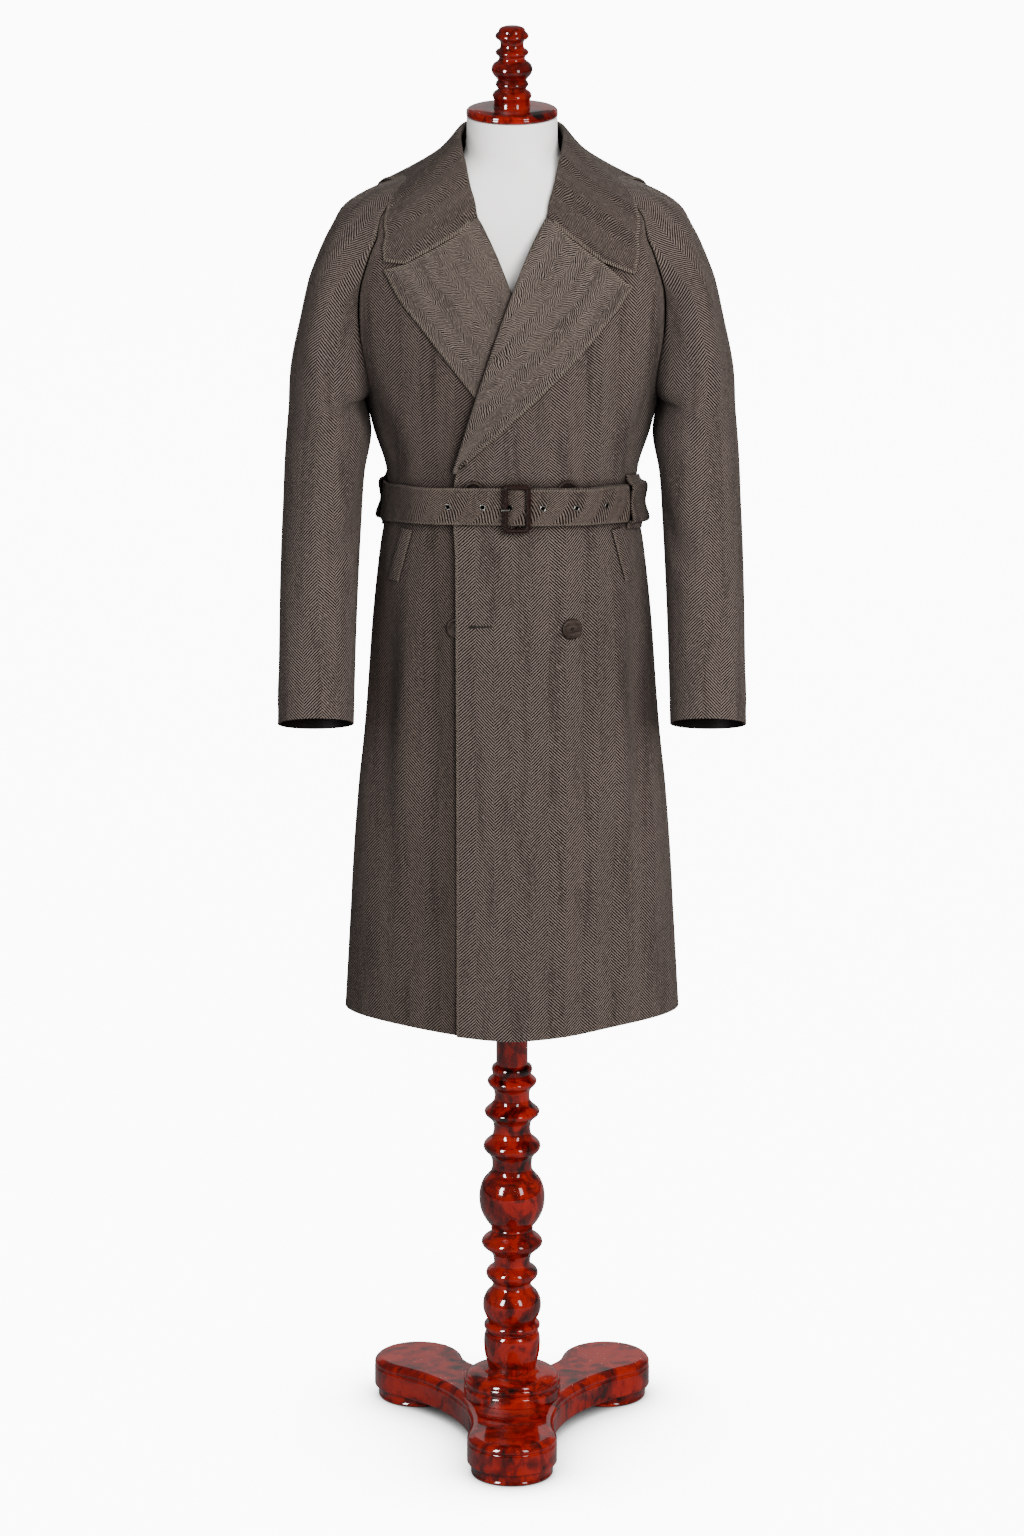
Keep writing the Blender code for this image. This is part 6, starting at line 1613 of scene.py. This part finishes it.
# Share of the way from the outline to the window, and height, round the frame's section.
frame_section = (
    (0.03, 0.0), (0.0, 0.0006), (0.0, 0.0026), (0.06, 0.0036), (0.16, BUCKLE_THICK),
    (0.24, BUCKLE_THICK - 0.0002), (0.28, BUCKLE_THICK - 0.0006), (0.32, BUCKLE_THICK - 0.0002),
    (0.50, BUCKLE_THICK + 0.0003), (0.80, BUCKLE_THICK), (0.94, 0.0036), (1.0, 0.0026), (1.0, 0.0006),
    (0.97, 0.0),
)
rings = np.array([np.pad(outline + (window - outline) * share, ((0, 0), (0, 1)), constant_values=height)
                  for share, height in frame_section])
rings = buckle_point + buckle_out * BUCKLE_LIFT + rings @ buckle_axes.T
new_piece("buckle_frame", rings, grid_quads(*rings.shape[:2], True, True), leather,
          ("buckle",), sharp=50)


def by_buckle(x, up, lift):
    """Point beside the buckle's middle, by its x, its height from there, and how far off the coat."""
    return buckle_point + buckle_axes @ np.array((x - buckle_middle, up, 0.0)) + buckle_out * lift


def wire(name, knots, radius, node, finish):
    """A round wire: its knots joined by a smooth curve, with rounded ends."""
    knots = np.array(knots)
    reach = walked(knots)
    t = np.linspace(0, reach[-1], 90)
    path = along(reach, knots, t)
    tip = np.minimum(t, reach[-1] - t) / radius
    thick = radius * np.sqrt(np.clip(1 - (1 - np.clip(tip, 0.04, 1)) ** 2, 0, 1))
    return new_piece(name, tube(path, thick, 20), tube_faces(90, 20), finish, (node,),
                     sharp=60)


reach = BUCKLE_HEIGHT / 2 - 0.0030
under_frame = BUCKLE_LIFT - PIN_RADIUS - 0.0004
# Half of the bar, from its end under the frame to its middle: height from the middle, lift.
half_bar = ((reach, under_frame), (reach - 0.0002, PIN_LIFT + 0.0022), (reach - 0.0016, PIN_LIFT),
            (reach - 0.006, PIN_LIFT))
knots = [*half_bar, (0.0, PIN_LIFT), *((-up, lift) for up, lift in half_bar[::-1])]
wire("buckle_pin", [by_buckle(PIN_X, up, lift) for up, lift in knots], PIN_RADIUS, "buckle_bar", bar_steel)
top = BUCKLE_LIFT + BUCKLE_THICK + PRONG_RADIUS + 0.0005
hole, axis = belt_place(EYELETS_X[2])
knots = [by_buckle(PIN_X - PIN_RADIUS - PRONG_RADIUS - 0.0004, 0.0, PIN_LIFT), hole - axis * 0.0016,
         hole + axis * (BELT_CLOTH + 0.0022), by_buckle(-0.0043, 0.0, top - 0.0004),
         by_buckle(-0.0060, 0.0, top), by_buckle(-0.0142, 0.0, top)]
wire("buckle_tongue", knots, PRONG_RADIUS, "buckle_prong", steel)

# ------------------------------------------------------------------ floor, lights and camera
# A plain pale floor that runs out of sight, with its own even white, darkened round the base by a painted
# shadow.  Two narrow soft boxes and a dim panel behind are for the gloss alone, and broad fills light the
# cloth.

WHITE = (1.0, 1.0, 1.0, 1.0)
floor_paint, tree, shader = new_material("pale_floor", Roughness=0.9, Specular_IOR_Level=0.1,
                                         Emission_Color=WHITE)
_, grains = grained(tree, 0.02, 2.0)
# The floor glows white to the camera, less where the base closes it in: a painted shadow.
seen = calc(tree, "MULTIPLY", add_node(tree, "ShaderNodeLightPath").outputs["Is Camera Ray"], 11.0)
feed(tree, shader,
     Base_Color=ramp(tree, grains["Cloud"], (0.3, (0.105, 0.10, 0.10, 1.0)), (0.7, (0.115, 0.11, 0.11, 1.0))),
     Emission_Strength=calc(tree, "MULTIPLY", calc(tree, "POWER", open_to_room(tree, 0.30, 16), 2.3), seen))
floor_mesh = bpy.data.meshes.new("floor")
floor_mesh.from_pydata([(-60, -60, 0), (60, -60, 0), (60, 60, 0), (-60, 60, 0)], [], [(0, 1, 2, 3)])
floor_mesh.materials.append(floor_paint)
floor = bpy.data.objects.new("floor", floor_mesh)
bpy.context.scene.collection.objects.link(floor)


def aimed(thing, place, target):
    """Puts a light or camera at a place, looking at a target."""
    bpy.context.scene.collection.objects.link(thing)
    thing.location = place
    direction = Vector(target) - Vector(place)
    thing.rotation_euler = direction.to_track_quat("-Z", "Y").to_euler()


def soft_box(name, place, target, width, height, power):
    """A rectangular area light."""
    light = bpy.data.lights.new(name, "AREA")
    light.shape = "RECTANGLE"
    light.size = width
    light.size_y = height
    light.energy = power
    box = bpy.data.objects.new(name, light)
    aimed(box, place, target)
    return box


# name, place, width, height, power, lights the cloth, shows in the gloss
for name, place, width, height, power, diffuse, gloss in (
        ("soft_box_left", (-2.54, -2.85, 2.20), 0.8, 2.2, 300.0, False, True),
        ("soft_box_right", (2.25, -3.05, 2.25), 0.8, 2.2, 50.0, False, True),
        ("wall_behind", (0.0, 6.0, 1.9), 9.0, 3.0, 20.0, False, True),
        ("fill_left", (-1.60, -6.00, 3.40), 3.0, 3.0, 150.0, True, False),
        ("fill_right", (2.20, -5.60, 3.40), 3.0, 3.0, 960.0, True, False),
        ("side_left", (-5.50, -1.00, 2.20), 3.0, 3.0, 110.0, True, False),
        ("side_right", (5.50, -1.00, 2.20), 3.0, 3.0, 120.0, True, False),
        ("fill_back", (0.60, 6.00, 3.60), 3.0, 3.0, 760.0, True, False),
        ("fill_above", (0.0, 0.4, 5.5), 6.0, 6.0, 120.0, True, False)):
    box = soft_box(name, place, (0.0, 0.0, 0.8), width, height, power)
    box.visible_diffuse = diffuse
    box.visible_glossy = gloss

world = bpy.data.worlds.new("studio")
bpy.context.scene.world = world
world.use_nodes = True
sky = world.node_tree.nodes["Background"].inputs
sky["Color"].default_value = WHITE
sky["Strength"].default_value = 0.10

lens = bpy.data.cameras.new("camera")
lens.lens = 192.0
lens.sensor_width = 36.0
camera = bpy.data.objects.new("camera", lens)
aimed(camera, (0.0, -10.0, 3.85), (0.0, 0.0, 0.903))
bpy.context.scene.camera = camera
